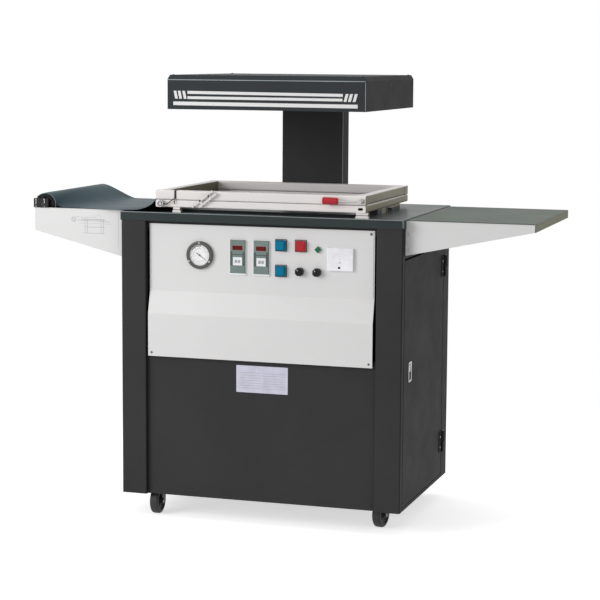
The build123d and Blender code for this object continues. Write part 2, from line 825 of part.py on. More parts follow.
def make_toggle_stud():
    """Headed stud on the lower front rail that the toggle turns on."""
    head_back = toggle_y - toggle_sheet - seat_gap
    stud = front_bar(toggle_x, toggle_z, (head_back, frame_front), toggle_pin_radius)
    boss = front_bar(toggle_x, toggle_z, (toggle_y + seat_gap, frame_front), toggle_head_radius)
    head = front_bar(toggle_x, toggle_z, (head_back - toggle_rivet_head, head_back), toggle_head_radius)
    return stud + boss + head


def make_film_tray():
    """Tapered trough on the left that carries the film roll."""
    left = -table_width / 2 - film_tray_reach
    right = -table_width / 2
    bottom = table_height - film_tray_drop
    end_bottom = table_height - film_tray_end_height
    outline = [(right, bottom), (right, table_height), (left, table_height), (left, end_bottom)]
    tray = side_profile(outline, tray_side_front, film_tray_depth)
    inner = [
        (right + overcut, bottom + tray_sheet),
        (right + overcut, table_height + overcut),
        (left - overcut, table_height + overcut),
        (left - overcut, end_bottom + tray_sheet),
    ]
    tray -= side_profile(inner, tray_side_front + tray_sheet, film_tray_depth - 2 * tray_sheet)
    y = (tray_side_front, tray_side_back)
    tray += block((right, -side_x), y, (bottom, apron_bottom))
    deck_left = right - film_deck_reach
    tray += block((deck_left, right), y, (film_deck_level, film_deck_level + tray_sheet))
    fold_z = (film_deck_level - film_deck_fold, film_deck_level)
    return tray + block((deck_left, deck_left + tray_sheet), y, fold_z)


def make_roll_holders():
    """Blocks on the tray walls that close over the roll shaft, with knobs on top."""
    holders = []
    middle = roll_x - holder_offset
    outer_front = tray_side_front - holder_overhang
    outer_back = tray_side_back + holder_overhang
    z = (table_height, table_height + holder_height)
    for y in ((outer_front, outer_front + holder_thickness), (outer_back - holder_thickness, outer_back)):
        holder = block(span(middle, holder_width), y, z)
        holder = fillet(holder.edges().filter_by(Axis.Y).group_by(Axis.Z)[-1], holder_corner)
        holder -= along_roll(roll_shaft_radius + seat_gap, (y[0] - overcut, y[1] + overcut))
        for offset in holder_knobs:
            foot = (middle + offset, (y[0] + y[1]) / 2, z[1])
            holder += rod(foot, (foot[0], foot[1], z[1] + holder_knob_height), holder_knob_radius)
        holders.append(holder)
    return Compound(holders)


def along_roll(radius, y):
    """Bar on the film roll's axis between two values of y."""
    return front_bar(roll_x, roll_z, y, radius)


def make_film_roll():
    y = (roll_front, roll_back)
    return along_roll(roll_radius, y) - along_roll(roll_core_radius, y)


def make_roll_core():
    """Core tube with a ribbed cone chuck at each end."""
    core = along_roll(roll_core_radius, (roll_front, roll_back))
    grooves = Sketch() + PolarLocations(chuck_radius, chuck_ribs) * Rectangle(chuck_radius, chuck_rib_width)
    for face_y, outward in ((roll_front, -1), (roll_back, 1)):
        plane = Plane(origin=(roll_x, face_y, roll_z), x_dir=(1, 0, 0), z_dir=(0, outward, 0))
        core += plane * Pos(0, 0, chuck_length / 2) * Cone(chuck_radius, chuck_face_radius, chuck_length)
        core -= extrude(plane * Pos(0, 0, chuck_length - chuck_rib_depth) * grooves, chuck_rib_depth)
    y = (roll_front - chuck_length, roll_back + chuck_length)
    return core - along_roll(roll_shaft_radius, y)


def make_roll_shaft():
    y = (tray_side_front - holder_overhang, tray_side_back + holder_overhang)
    return along_roll(roll_shaft_radius, y)


def film_line(offset):
    """Course of one face of the film, from the roll over the table's edge into the frame."""
    angle = math.radians(film_leave_angle)
    reach = roll_radius + seat_gap + offset
    start = (roll_x + reach * math.cos(angle), roll_z + reach * math.sin(angle))
    edge = -frame_width / 2
    rest = table_height + seat_gap + offset
    grip_z = lower_rail_top + (frame_gap - film_thickness) / 2 + offset
    fall_end = (start[0] + film_fall_run, rest)
    lay_end = (edge - film_rise_length, rest)
    fall = Spline(start, fall_end, tangents=[(math.sin(angle), -math.cos(angle)), (1, 0)])
    rise = Spline(lay_end, (edge, grip_z), tangents=[(1, 0), (1, 0)])
    grip = Line((edge, grip_z), (edge + film_pull, grip_z))
    return start, (edge + film_pull, grip_z), fall + Line(fall_end, lay_end) + rise + grip


def make_film_web():
    """Film that leaves the roll, falls to the table and rises into the frame."""
    under_start, under_end, under = film_line(0)
    over_start, over_end, over = film_line(film_thickness)
    outline = make_face(under + over + Line(under_start, over_start) + Line(under_end, over_end))
    y = (roll_front + film_edge_gap, roll_back - film_edge_gap)
    return extrude(front_plane(0, y[0], 0) * outline, y[0] - y[1])


def make_outfeed_cheeks():
    """Tapered side plates under the outfeed tray, with flanges on the cabinet."""
    left = table_width / 2
    right = left + outfeed_reach - tray_sheet
    top = outfeed_level - tray_sheet
    bottom = outfeed_level - outfeed_drop
    end_bottom = outfeed_level - outfeed_end_height
    outline = [(left, bottom), (left, top), (right, top), (right, end_bottom)]
    back = tray_side_front + outfeed_depth
    cheeks = []
    for y, flange in (
        (tray_side_front, (tray_side_front, tray_side_front + outfeed_flange)),
        (back - tray_sheet, (back - outfeed_flange, back)),
    ):
        cheek = side_profile(outline, y, tray_sheet)
        cheek += block((side_x, left), flange, (bottom, apron_bottom))
        cheeks.append(cheek + block((left, left + tray_sheet), flange, (bottom, top)))
    return Compound(cheeks)


def make_outfeed_deck():
    """Flat tray sheet with its end folded down."""
    x = (table_width / 2 + outfeed_gap, table_width / 2 + outfeed_reach)
    y = (tray_side_front, tray_side_front + outfeed_depth)
    deck = block(x, y, (outfeed_level - tray_sheet, outfeed_level))
    return deck + block((x[1] - tray_sheet, x[1]), y, (outfeed_level - outfeed_end_height, outfeed_level))


def make_vacuum_gauge():
    """Round gauge with a raised bezel and a can behind the panel."""
    front = panel_recess - gauge_bezel_height
    bezel = front_bar(gauge_x, gauge_z, (front, panel_recess), gauge_bezel_radius)
    bezel = fillet(bezel.edges().group_by(Axis.Y)[0], gauge_bezel_edge)
    bezel -= front_bar(gauge_x, gauge_z, (front, front + gauge_recess), gauge_dial_radius)
    can_y = (panel_recess, panel_recess + gauge_can_depth)
    return bezel + front_bar(gauge_x, gauge_z, can_y, gauge_can_radius)


def make_timers():
    """Two tall timer modules with a display window and a key pad."""
    modules = []
    front = panel_recess - timer_bezel
    recess_y = (front, front + timer_window_recess)
    window = (timer_z + timer_window_rise, timer_window_height)
    keys = (timer_z - timer_key_drop, timer_key_height)
    for x in timer_places:
        bezel = block(span(x, timer_width), (front, panel_recess), span(timer_z, timer_height))
        bezel = fillet(bezel.edges().group_by(Axis.Y)[0], timer_edge_radius)
        for middle, height in (window, keys):
            bezel -= block(span(x, timer_window_width), recess_y, span(middle, height))
        body_x = span(x, timer_width - 2 * timer_body_inset)
        body_z = span(timer_z, timer_height - 2 * timer_body_inset)
        modules.append(bezel + block(body_x, (panel_recess, panel_recess + timer_body_depth), body_z))
    return Compound(modules)


def make_button(x, z):
    """Square push button on a round stem through the panel."""
    back = panel_recess - button_travel - button_stem_gap
    cap = block(span(x, button_size), (back - button_height, back), span(z, button_size))
    cap = fillet(cap.edges().filter_by(Axis.Y) + cap.edges().group_by(Axis.Y)[0], button_edge_radius)
    return cap + front_bar(x, z, (back, back + button_stem_length), button_stem_radius)


def make_knob(x):
    """Fluted knob on a shaft through the panel."""
    back = panel_recess - knob_stand_off
    flutes = PolarLocations(knob_radius, knob_flutes) * Circle(knob_flute_radius)
    face = Circle(knob_radius) - flutes
    knob = extrude(front_plane(x, back, lower_row_z) * face, knob_height, taper=knob_taper)
    return knob + front_bar(x, lower_row_z, (back, back + knob_shaft_length), knob_shaft_radius)


def make_pilot_lamp():
    """Diamond lens on a round stem."""
    face = Rot(0, 0, 45) * RectangleRounded(lamp_side, lamp_side, lamp_corner)
    lens = extrude(front_plane(lamp_x, panel_recess, lamp_z) * face, lamp_height)
    stem_y = (panel_recess, panel_recess + lamp_stem_length)
    return lens + front_bar(lamp_x, lamp_z, stem_y, lamp_stem_radius)


def make_panel_meter():
    """Rectangular meter with a scale window and a round case behind the panel."""
    front = panel_recess - meter_bezel
    x = span(meter_x, meter_width)
    z = span(meter_z, meter_height)
    bezel = block(x, (front, panel_recess), z)
    bezel = fillet(bezel.edges().filter_by(Axis.Y) + bezel.edges().group_by(Axis.Y)[0], timer_edge_radius)
    window_x = (x[0] + meter_window_inset, x[1] - meter_window_inset)
    window_z = (z[0] + meter_window_bottom, z[1] - meter_window_inset)
    bezel -= block(window_x, (front, front + meter_window_recess), window_z)
    body_y = (panel_recess, panel_recess + meter_body_depth)
    return bezel + front_bar(meter_x, meter_z, body_y, meter_body_radius)


def make_caster_plates():
    """Fixed top plates with kingpins, under the base pan."""
    plates = []
    face = RectangleRounded(caster_plate_width, caster_plate_width, caster_plate_corner)
    top = caster_height - caster_plate_thickness
    for x, y in caster_places.values():
        plate = Pos(x, y, top) * extrude(face, caster_plate_thickness)
        plates.append(plate + rod((x, y, fork_crown), (x, y, top), swivel_pin_radius))
    return Compound(plates)


def make_fork(name):
    """Swivel fork: a domed race, a crown plate, two tapered legs and the axle."""
    x, y = caster_places[name]
    half = wheel_width / 2 + fork_side_gap + fork_sheet
    crown_top = fork_crown + fork_sheet
    dome = Pos(0, 0, (crown_top + race_top) / 2) * Cone(
        swivel_race_radius, swivel_race_radius - fork_sheet, race_top - crown_top
    )
    nose = caster_trail + axle_boss_radius
    crown = block((-swivel_race_radius, nose), (-half, half), (fork_crown, crown_top))
    crown = fillet(crown.edges().filter_by(Axis.Z), fork_leg_corner)
    bore = rod((0, 0, fork_crown), (0, 0, race_top), swivel_pin_radius + running_gap)
    back = -swivel_race_radius + fork_leg_corner
    front = nose - fork_leg_corner
    outline = [
        (back, crown_top),
        (front, crown_top),
        (caster_trail + axle_boss_radius, axle_level),
        (caster_trail - axle_boss_radius, axle_level),
        (back, fork_crown - fork_leg_corner),
    ]
    fork = dome + crown - bore
    for start in (-half, half - fork_sheet):
        fork += side_profile(outline, start, fork_sheet)
        fork += front_bar(caster_trail, axle_level, (start, start + fork_sheet), axle_boss_radius)
    fork += front_bar(caster_trail, axle_level, (-half - axle_end, half + axle_end), axle_radius)
    return Pos(x, y, 0) * Rot(0, 0, caster_headings[name]) * fork


def make_wheel(name):
    """Wheel with a dished hub and a rounded tyre, which the standing load presses flat at the floor."""
    x, y = caster_places[name]
    half = wheel_width / 2
    tyre = front_bar(caster_trail, axle_level, (-half, half), wheel_radius)
    wheel = fillet(tyre.edges().filter_by(GeomType.CIRCLE), wheel_edge_radius)
    dish_radius = wheel_radius - wheel_dish_margin
    for y_span in ((-half, -half + wheel_hub_recess), (half - wheel_hub_recess, half)):
        dish = front_bar(caster_trail, axle_level, y_span, dish_radius)
        wheel -= dish - front_bar(caster_trail, axle_level, y_span, wheel_hub_radius)
    wheel -= front_bar(caster_trail, axle_level, (-half, half), axle_radius + running_gap)
    wheel -= block(span(caster_trail, 2 * wheel_radius), (-half, half), (-tyre_press, 0))
    return Pos(x, y, 0) * Rot(0, 0, caster_headings[name]) * wheel


pieces = {
    "base_pan": make_base_pan(),
    "left_front_pillar": make_pillar(-1),
    "right_front_pillar": make_pillar(1),
    "left_side_panel": make_left_side_panel(),
    "rear_panel": make_rear_panel(),
    "right_rear_post": make_right_rear_post(),
    "door_rails": make_door_rails(),
    "door_hinges": make_door_hinges(),
    "side_door": make_side_door(),
    "door_latch": make_door_latch(),
    "lower_front_panel": make_lower_front_panel(),
    "front_cross_rail": make_front_cross_rail(),
    "control_panel": make_control_panel(),
    "table_top": make_table_top(),
    "vacuum_platen": make_vacuum_platen(),
    "guide_blocks": make_guide_blocks(),
    "column": make_column(),
    "hood_skirt": make_hood_skirt(),
    "hood_lid": make_hood_lid(),
    "heater_reflector": make_heater_reflector(),
    "heater_elements": make_heater_elements(),
    "lower_frame": make_lower_frame(),
    "corner_knob": make_corner_knob(),
    "guide_rods": make_guide_rods(),
    "upper_frame": make_upper_frame(),
    "lever_pivot": make_lever_pivot(),
    "clamp_lever": make_clamp_lever(),
    "lever_grip": make_lever_grip(),
    "toggle_stud": make_toggle_stud(),
    "toggle_latch": make_toggle_latch(),
    "film_tray": make_film_tray(),
    "roll_holders": make_roll_holders(),
    "film_roll": make_film_roll(),
    "roll_core": make_roll_core(),
    "roll_shaft": make_roll_shaft(),
    "film_web": make_film_web(),
    "outfeed_cheeks": make_outfeed_cheeks(),
    "outfeed_deck": make_outfeed_deck(),
    "vacuum_gauge": make_vacuum_gauge(),
    "timers": make_timers(),
    "pilot_lamp": make_pilot_lamp(),
    "panel_meter": make_panel_meter(),
    "caster_plates": make_caster_plates(),
}
for button, place in button_places.items():
    pieces[button] = make_button(*place)
for side, place in zip(("left", "right"), knob_places):
    pieces["knob_" + side] = make_knob(place)
for corner in caster_places:
    pieces["caster_fork_" + corner] = make_fork(corner)
    pieces["caster_wheel_" + corner] = make_wheel(corner)

# The origin moves to the floor under the middle of the whole machine
whole = Compound(list(pieces.values())).bounding_box()
origin = Vector((whole.min.X + whole.max.X) / 2, (whole.min.Y + whole.max.Y) / 2, whole.min.Z)

for name, piece in pieces.items():
    export_step(Pos(-origin.X, -origin.Y, -origin.Z) * piece, "parts/" + name + ".step")
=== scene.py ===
import json
import math

import bpy
from mathutils import Matrix, Vector, noise


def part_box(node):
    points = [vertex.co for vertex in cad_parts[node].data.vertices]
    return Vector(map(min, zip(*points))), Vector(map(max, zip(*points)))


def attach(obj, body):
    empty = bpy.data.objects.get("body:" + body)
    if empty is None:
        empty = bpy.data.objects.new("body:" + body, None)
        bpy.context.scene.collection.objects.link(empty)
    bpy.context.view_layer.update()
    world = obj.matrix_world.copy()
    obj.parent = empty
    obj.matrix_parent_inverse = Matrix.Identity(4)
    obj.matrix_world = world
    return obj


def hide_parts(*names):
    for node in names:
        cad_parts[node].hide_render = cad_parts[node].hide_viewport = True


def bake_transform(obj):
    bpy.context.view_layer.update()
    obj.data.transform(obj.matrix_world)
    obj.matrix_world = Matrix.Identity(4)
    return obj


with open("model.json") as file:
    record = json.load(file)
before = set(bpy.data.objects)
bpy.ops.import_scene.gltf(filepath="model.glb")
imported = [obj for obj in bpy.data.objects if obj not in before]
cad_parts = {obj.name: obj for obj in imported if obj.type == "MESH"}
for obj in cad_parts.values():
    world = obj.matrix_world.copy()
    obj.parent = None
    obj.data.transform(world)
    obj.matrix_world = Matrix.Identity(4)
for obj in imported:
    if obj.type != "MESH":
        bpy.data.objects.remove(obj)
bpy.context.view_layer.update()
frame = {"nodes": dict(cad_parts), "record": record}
nodes = frame["nodes"]
MM = 0.001

# Places are in millimetres from the cabinet's middle, its front face and the floor
TABLE_LOW, TABLE_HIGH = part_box("table_top")
MIDDLE_X = (TABLE_LOW[0] + TABLE_HIGH[0]) / 2
FRONT_Y = TABLE_LOW[1]

# Camera, from the photograph's perspective
CAMERA_PLACE = (1625.1, -4760.4, 1276.6)
CAMERA_YAW = -0.30542
CAMERA_PITCH = -0.12506
CAMERA_ROLL = 0.00637
CAMERA_LENS = 113.24
CAMERA_SENSOR = 36.0
CAMERA_SHIFT = (-0.00404, -0.01305)

# Light, in watts and metres
KEY_POWER = 97.0
FILL_POWER = 4.0
TOP_POWER = 40.0
WORLD_STRENGTH = 0.5
FLOOR_GLOW = 0.62
FLOOR_LIT_RADIUS = 0.9
FLOOR_WHITE_RADIUS = 1.9
FLOOR_HALF = 60.0
LIGHT_AIM = (0, 0, 0.7)
LIGHTS = (
    ("key", (-2.9, -3.1, 1.9), 2.2, KEY_POWER),
    ("fill", (3.2, -2.4, 1.8), 2.4, FILL_POWER),
    ("top", (0.2, 0.4, 3.6), 2.6, TOP_POWER),
)

# Faces that details lie on, each as the two directions along it; their cross product points out
X, Y, Z = Vector((1, 0, 0)), Vector((0, 1, 0)), Vector((0, 0, 1))
FRONT = (X, Z)
BACK = (-X, Z)
RIGHT = (Y, Z)
TOP = (X, Y)


def at(x, y, z):
    """Place in metres in the frame, from millimetres on the machine."""
    return Vector((MIDDLE_X + x * MM, FRONT_Y + y * MM, z * MM))


def extent(node):
    """A node's box as three pairs of millimetres on the machine."""
    low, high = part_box(node)
    shift = (MIDDLE_X, FRONT_Y, 0)
    return [((a - s) / MM, (b - s) / MM) for a, b, s in zip(low, high, shift)]


def middle(pair):
    return (pair[0] + pair[1]) / 2


# Materials, with the radius of each kind's rounded edges, where paint wears and plastic gets a painted
# highlight, and the depth of its skin, in metres
PAINT_EDGE = 0.0009
PLASTIC_EDGE = 0.0004
METAL_EDGE = 0.0005
ORANGE_PEEL = 0.0002
PLASTIC_SKIN = 0.00008
PLASTIC_GRAIN = 1800.0
METAL_GRAIN = 220.0
WINDINGS = 6000.0


def link(source, target):
    target.id_data.links.new(source, target)


def set_sockets(node, **values):
    """Sets or links sockets by name, with _ for each space."""
    for name, value in values.items():
        socket = node.inputs[name.replace("_", " ")]
        if isinstance(value, bpy.types.NodeSocket):
            link(value, socket)
        else:
            socket.default_value = value


def new_node(tree, kind, **values):
    node = tree.nodes.new("ShaderNode" + kind)
    set_sockets(node, **values)
    return node


def new_material(name):
    material = bpy.data.materials.new(name)
    material.use_nodes = True
    tree = material.node_tree
    return material, tree, tree.nodes["Principled BSDF"]


def object_noise(tree, scale, detail=4.0, roughness=0.5, stretch=(1, 1, 1)):
    """Noise in the object's own space, stretched by axis."""
    place = new_node(tree, "TexCoord").outputs["Object"]
    place = new_node(tree, "Mapping", Vector=place, Scale=stretch).outputs["Vector"]
    noise = new_node(tree, "TexNoise", Vector=place, Scale=scale, Detail=detail, Roughness=roughness)
    return noise.outputs["Fac"]


def colour_ramp(tree, source, low, high):
    """Colour between two tones, over the middle part of a noise."""
    ramp = new_node(tree, "ValToRGB", Fac=source)
    for element, place, colour in zip(ramp.color_ramp.elements, (0.3, 0.7), (low, high)):
        element.position = place
        element.color = (*colour, 1)
    return ramp.outputs["Color"]


def value_range(tree, source, low, high, from_low=0.0, from_high=1.0):
    spread = new_node(tree, "MapRange", Value=source, From_Min=from_low, From_Max=from_high,
                      To_Min=low, To_Max=high)
    return spread.outputs["Result"]


def math_node(tree, operation, first, second=0.0):
    node = new_node(tree, "Math")
    node.operation = operation
    for socket, value in zip(node.inputs, (first, second)):
        if isinstance(value, (int, float)):
            socket.default_value = value
        else:
            link(value, socket)
    return node.outputs["Value"]


def mix_colours(tree, factor, first, second):
    mix = new_node(tree, "Mix", Factor=factor)
    mix.data_type = "RGBA"
    for name, value in (("A", first), ("B", second)):
        socket = [s for s in mix.inputs if s.name == name and s.type == "RGBA"][0]
        if isinstance(value, tuple):
            socket.default_value = (*value, 1)
        else:
            link(value, socket)
    return [s for s in mix.outputs if s.type == "RGBA"][0]


def add_bump(tree, shader, height, strength, distance, normal=None):
    bump = new_node(tree, "Bump", Height=height, Strength=strength, Distance=distance)
    if normal:
        set_sockets(bump, Normal=normal)
    set_sockets(shader, Normal=bump.outputs["Normal"])


def rounded_normal(tree, radius):
    """Normal that rounds sharp edges by a radius, and a mask of where it does."""
    bevel = new_node(tree, "Bevel", Radius=radius)
    bevel.samples = 4
    dot = new_node(tree, "VectorMath")
    dot.operation = "DOT_PRODUCT"
    link(bevel.outputs["Normal"], dot.inputs[0])
    link(new_node(tree, "NewGeometry").outputs["True Normal"], dot.inputs[1])
    return bevel.outputs["Normal"], value_range(tree, dot.outputs["Value"], 1.0, 0.0, 0.75, 0.98)


def shade(colour, factor):
    return tuple(channel * factor for channel in colour)


def axis_parts(tree, output):
    """X, Y and Z of one of the object's texture coordinates."""
    return new_node(tree, "SeparateXYZ", Vector=new_node(tree, "TexCoord").outputs[output]).outputs


def sideways(tree):
    """How far a face looks to the left or right, from 0 to 1."""
    return math_node(tree, "ABSOLUTE", axis_parts(tree, "Normal")["X"])


def painted(name, colour, roughness, grain=900.0, mottling=0.1, coat=0.0, wear=None, wear_share=0.5,
            side_shading_colour=None, gloss=0.5):
    """Sprayed sheet metal: mottling, uneven gloss, orange peel, wear along the edges and painted shading on
    faces turned to the sides.
    """
    material, tree, shader = new_material(name)
    cloud = object_noise(tree, 3.0, 6.0, 0.6)
    paint = colour_ramp(tree, cloud, shade(colour, 1 - mottling), shade(colour, 1 + mottling))
    # Faces turned to the left or right take the side colour: painted shading for how light falls on the sides
    if side_shading_colour:
        paint = mix_colours(tree, value_range(tree, sideways(tree), 0.0, 1.0, 0.6, 0.8), paint, side_shading_colour)
    normal, edges = rounded_normal(tree, PAINT_EDGE)
    scratches = object_noise(tree, 60.0, 6.0, 0.7)
    chipped = math_node(tree, "MULTIPLY", edges, value_range(tree, scratches, 0.0, 1.0, 0.42, 0.62))
    chipped = math_node(tree, "MULTIPLY", chipped, wear_share)
    paint = mix_colours(tree, chipped, paint, wear or shade(colour, 1.8))
    smudge = value_range(tree, object_noise(tree, 9.0, 5.0, 0.7), roughness * 0.8, roughness * 1.25)
    set_sockets(shader, Base_Color=paint, Roughness=smudge, Coat_Weight=coat, Coat_Roughness=0.1,
                Specular_IOR_Level=gloss)
    add_bump(tree, shader, object_noise(tree, grain, 2.0), 0.35, ORANGE_PEEL, normal)
    return material


def moulded(name, colour, roughness, gloss=0.5):
    """Moulded plastic with a fine skin and a painted highlight along its edges."""
    material, tree, shader = new_material(name)
    cloud = object_noise(tree, 40.0, 3.0)
    normal, edges = rounded_normal(tree, PLASTIC_EDGE)
    body = colour_ramp(tree, cloud, shade(colour, 0.93), shade(colour, 1.07))
    # Edges mix towards a lighter copy of the plastic colour: a painted highlight
    edge_highlighted = mix_colours(tree, math_node(tree, "MULTIPLY", edges, 0.3), body, shade(colour, 1.35))
    uneven = value_range(tree, cloud, roughness * 0.85, roughness * 1.2)
    set_sockets(shader, Base_Color=edge_highlighted, Roughness=uneven, Specular_IOR_Level=gloss)
    add_bump(tree, shader, object_noise(tree, PLASTIC_GRAIN, 2.0), 0.25, PLASTIC_SKIN, normal)
    return material


def bare_metal(name, colour, roughness, stretch=(1, 1, 1)):
    """Bare or plated metal with drawn or brushed marks."""
    material, tree, shader = new_material(name)
    marks = object_noise(tree, METAL_GRAIN, 5.0, 0.6, stretch)
    tarnish = object_noise(tree, 25.0, 5.0, 0.65)
    metal = colour_ramp(tree, marks, shade(colour, 0.86), shade(colour, 1.06))
    stain = math_node(tree, "MULTIPLY", value_range(tree, tarnish, 0.0, 1.0, 0.5, 0.75), 0.35)
    uneven = value_range(tree, marks, roughness * 0.7, roughness * 1.3)
    stained = mix_colours(tree, stain, metal, shade(colour, 0.6))
    set_sockets(shader, Base_Color=stained, Roughness=uneven, Metallic=1.0)
    add_bump(tree, shader, marks, 0.15, 0.0001, rounded_normal(tree, METAL_EDGE)[0])
    return material


def distance_from_axis(tree, x, z):
    """Distance from an axis along Y through a place on the machine, in metres."""
    parts = axis_parts(tree, "Object")
    centre = at(x, 0, z)
    squares = [math_node(tree, "POWER", math_node(tree, "SUBTRACT", parts[axis], middle_place), 2)
               for axis, middle_place in (("X", centre.x), ("Z", centre.z))]
    return math_node(tree, "SQRT", math_node(tree, "ADD", *squares))


def film_material(name, colour, wound_about=None):
    """Glossy film with faint drawn streaks lightened as a painted sheen, or the end grain of its windings."""
    material, tree, shader = new_material(name)
    streaks = object_noise(tree, 14.0, 5.0, 0.6, (1.0, 9.0, 1.0))
    body = colour_ramp(tree, object_noise(tree, 4.0, 3.0), shade(colour, 0.8), shade(colour, 1.25))
    # The streaks mix towards a pale copy of the film colour: a painted sheen on the creases
    light = math_node(tree, "MULTIPLY", value_range(tree, streaks, 0.0, 1.0, 0.48, 0.75), 0.45)
    set_sockets(shader, Base_Color=mix_colours(tree, light, body, shade(colour, 2.4)),
                Roughness=value_range(tree, streaks, 0.22, 0.5), Specular_IOR_Level=0.05)
    height = streaks
    if wound_about:
        turns = math_node(tree, "MULTIPLY", distance_from_axis(tree, *wound_about), WINDINGS)
        height = math_node(tree, "ADD", streaks, math_node(tree, "SINE", turns))
    add_bump(tree, shader, height, 0.3, 0.0003)
    return material


def glass_material(name):
    """Thin clear cover with faint smears."""
    material, tree, shader = new_material(name)
    smears = value_range(tree, object_noise(tree, 60.0, 4.0), 0.04, 0.15)
    set_sockets(shader, Base_Color=(0.9, 0.9, 0.9, 1), Alpha=0.08, Roughness=smears)
    return material


ROLL_AXIS = (middle(extent("roll_shaft")[0]), middle(extent("roll_shaft")[2]))
# The side colours below are painted shading: the tone each coat shows on faces turned to the left or right
CHARCOAL = painted("charcoal_coat", (0.045, 0.045, 0.0453), 0.5, wear=(0.2, 0.2, 0.2), wear_share=0.35,
                   side_shading_colour=(0.022, 0.0223, 0.022), gloss=0.04)
HOOD_COAT = painted("hood_coat", (0.041, 0.046, 0.049), 0.48, wear=(0.3, 0.3, 0.3), wear_share=0.5,
                    side_shading_colour=(0.016, 0.016, 0.016), gloss=0.04)
TABLE_COAT = painted("table_coat", (0.036, 0.046, 0.046), 0.34, grain=500.0, coat=0.03,
                     wear=(0.42, 0.42, 0.4), wear_share=0.6, gloss=0.08)
# Pale coat painted as the highlights along the hood's, column's and table's edges
EDGE_HIGHLIGHT = painted("painted_edge_highlight", (0.3, 0.34, 0.35), 0.35, mottling=0.5, wear=(0.5, 0.5, 0.5),
                     wear_share=0.3)
WHITE_COAT = painted("white_coat", (0.745, 0.737, 0.735), 0.42, mottling=0.02, wear=(0.5, 0.48, 0.42),
                     wear_share=0.3)
CREAM_COAT = painted("cream_coat", (0.8, 0.765, 0.75), 0.4, mottling=0.05, wear=(0.3, 0.27, 0.2),
                     wear_share=0.75, side_shading_colour=(0.22, 0.205, 0.125), gloss=0.3)
TRAY_COAT = painted("tray_coat", (0.096, 0.116, 0.097), 0.5, wear=(0.4, 0.42, 0.38), wear_share=0.4,
                    side_shading_colour=(0.2, 0.2, 0.14), gloss=0.06)
BLACK_METAL = painted("black_metal", (0.01, 0.01, 0.011), 0.35, wear=(0.3, 0.3, 0.3), wear_share=0.6,
                      gloss=0.3)
STEEL = bare_metal("plated_steel", (0.46, 0.45, 0.44), 0.42)
BRIGHT = bare_metal("bright_sheet", (0.75, 0.75, 0.76), 0.22, (1, 12, 1))
ALUMINIUM = painted("anodised_aluminium", (0.02, 0.026, 0.028), 0.3, gloss=0.1)
HEATER = moulded("heater_sheath", (0.3, 0.25, 0.22), 0.6)
CHROME = bare_metal("chrome", (0.46, 0.46, 0.46), 0.26)
BEZEL_METAL = painted("gauge_bezel_coat", (0.085, 0.088, 0.08), 0.22, mottling=0.2, wear=(0.5, 0.5, 0.5),
                      gloss=0.4)
TIMER_PLASTIC = moulded("timer_plastic", (0.155, 0.21, 0.195), 0.45)
TIMER_DARK = moulded("timer_shade", (0.05, 0.075, 0.07), 0.5)
DISPLAY_RIM = moulded("display_rim", (0.34, 0.03, 0.025), 0.3)
WHITE_PLASTIC = moulded("white_plastic", (0.9, 0.9, 0.93), 0.3)
BLACK_PLASTIC = moulded("black_plastic", (0.006, 0.006, 0.0065), 0.3, gloss=0.22)
BLUE_PLASTIC = moulded("blue_plastic", (0.0, 0.12, 0.2), 0.34, gloss=0.15)
# Lighter copy of the button blue, painted as the light on the caps' front faces
BLUE_LIT_FACE = moulded("blue_face_lit", (0.0, 0.18, 0.32), 0.34, gloss=0.12)
RED_PLASTIC = moulded("red_plastic", (0.44, 0.026, 0.034), 0.3, gloss=0.15)
GREEN_LENS = moulded("green_lens", (0.0, 0.12, 0.05), 0.12)
RUBBER = moulded("rubber", (0.014, 0.014, 0.014), 0.55)
FILM = film_material("film", (0.016, 0.044, 0.057))
FILM_ROLL = film_material("film_windings", (0.017, 0.038, 0.048), ROLL_AXIS)
FILM_EDGE = moulded("film_edge", (0.3, 0.36, 0.4), 0.25)
GLASS = glass_material("clear_cover")
DIAL = moulded("dial_card", (0.9, 0.9, 0.91), 0.5)
PRINT = moulded("dial_print", (0.03, 0.03, 0.035), 0.5)
FAINT_PRINT = moulded("faint_print", (0.4, 0.4, 0.42), 0.6)
SEAM = moulded("seam_shadow", (0.25, 0.24, 0.22), 0.6)
DISPLAY = moulded("display_window", (0.09, 0.008, 0.008), 0.25, gloss=0.12)
STRIPE = painted("stripe_film", (0.78, 0.78, 0.78), 0.35, mottling=0.03, wear=(0.5, 0.5, 0.5),
                 wear_share=0.3)
CARD = moulded("card", (0.62, 0.61, 0.73), 0.4)

MATERIAL_OF_SLOT = dict(
    charcoal_paint=CHARCOAL, hood_paint=HOOD_COAT, table_paint=TABLE_COAT, white_paint=WHITE_COAT,
    cream_paint=CREAM_COAT, tray_paint=TRAY_COAT, steel=STEEL, black_metal=BLACK_METAL, bright_steel=BRIGHT,
    aluminium=ALUMINIUM, heater=HEATER, gauge_metal=CHROME, timer_plastic=TIMER_PLASTIC,
    white_plastic=WHITE_PLASTIC, black_plastic=BLACK_PLASTIC, blue_plastic=BLUE_PLASTIC,
    red_plastic=RED_PLASTIC, green_lens=GREEN_LENS, rubber=RUBBER, film=FILM_ROLL,
)


def dress_nodes():
    """Gives every CAD node the material of its slot, and two of them a darker coat."""
    for row in frame["record"]["subparts"]:
        node = nodes[row["node"]]
        node.data.materials.clear()
        node.data.materials.append(MATERIAL_OF_SLOT[row["material_slot"]])
    nodes["vacuum_gauge"].data.materials[0] = BEZEL_METAL
    nodes["roll_shaft"].data.materials[0] = BLACK_METAL


# Mesh building

WIRE_SIDES = 10


def circle(centre, face, radius, segments):
    """Points round a centre, in the plane of a face's two directions."""
    across, up = face
    angles = [2 * math.pi * index / segments for index in range(segments)]
    return [centre + across * (radius * math.cos(a)) + up * (radius * math.sin(a)) for a in angles]


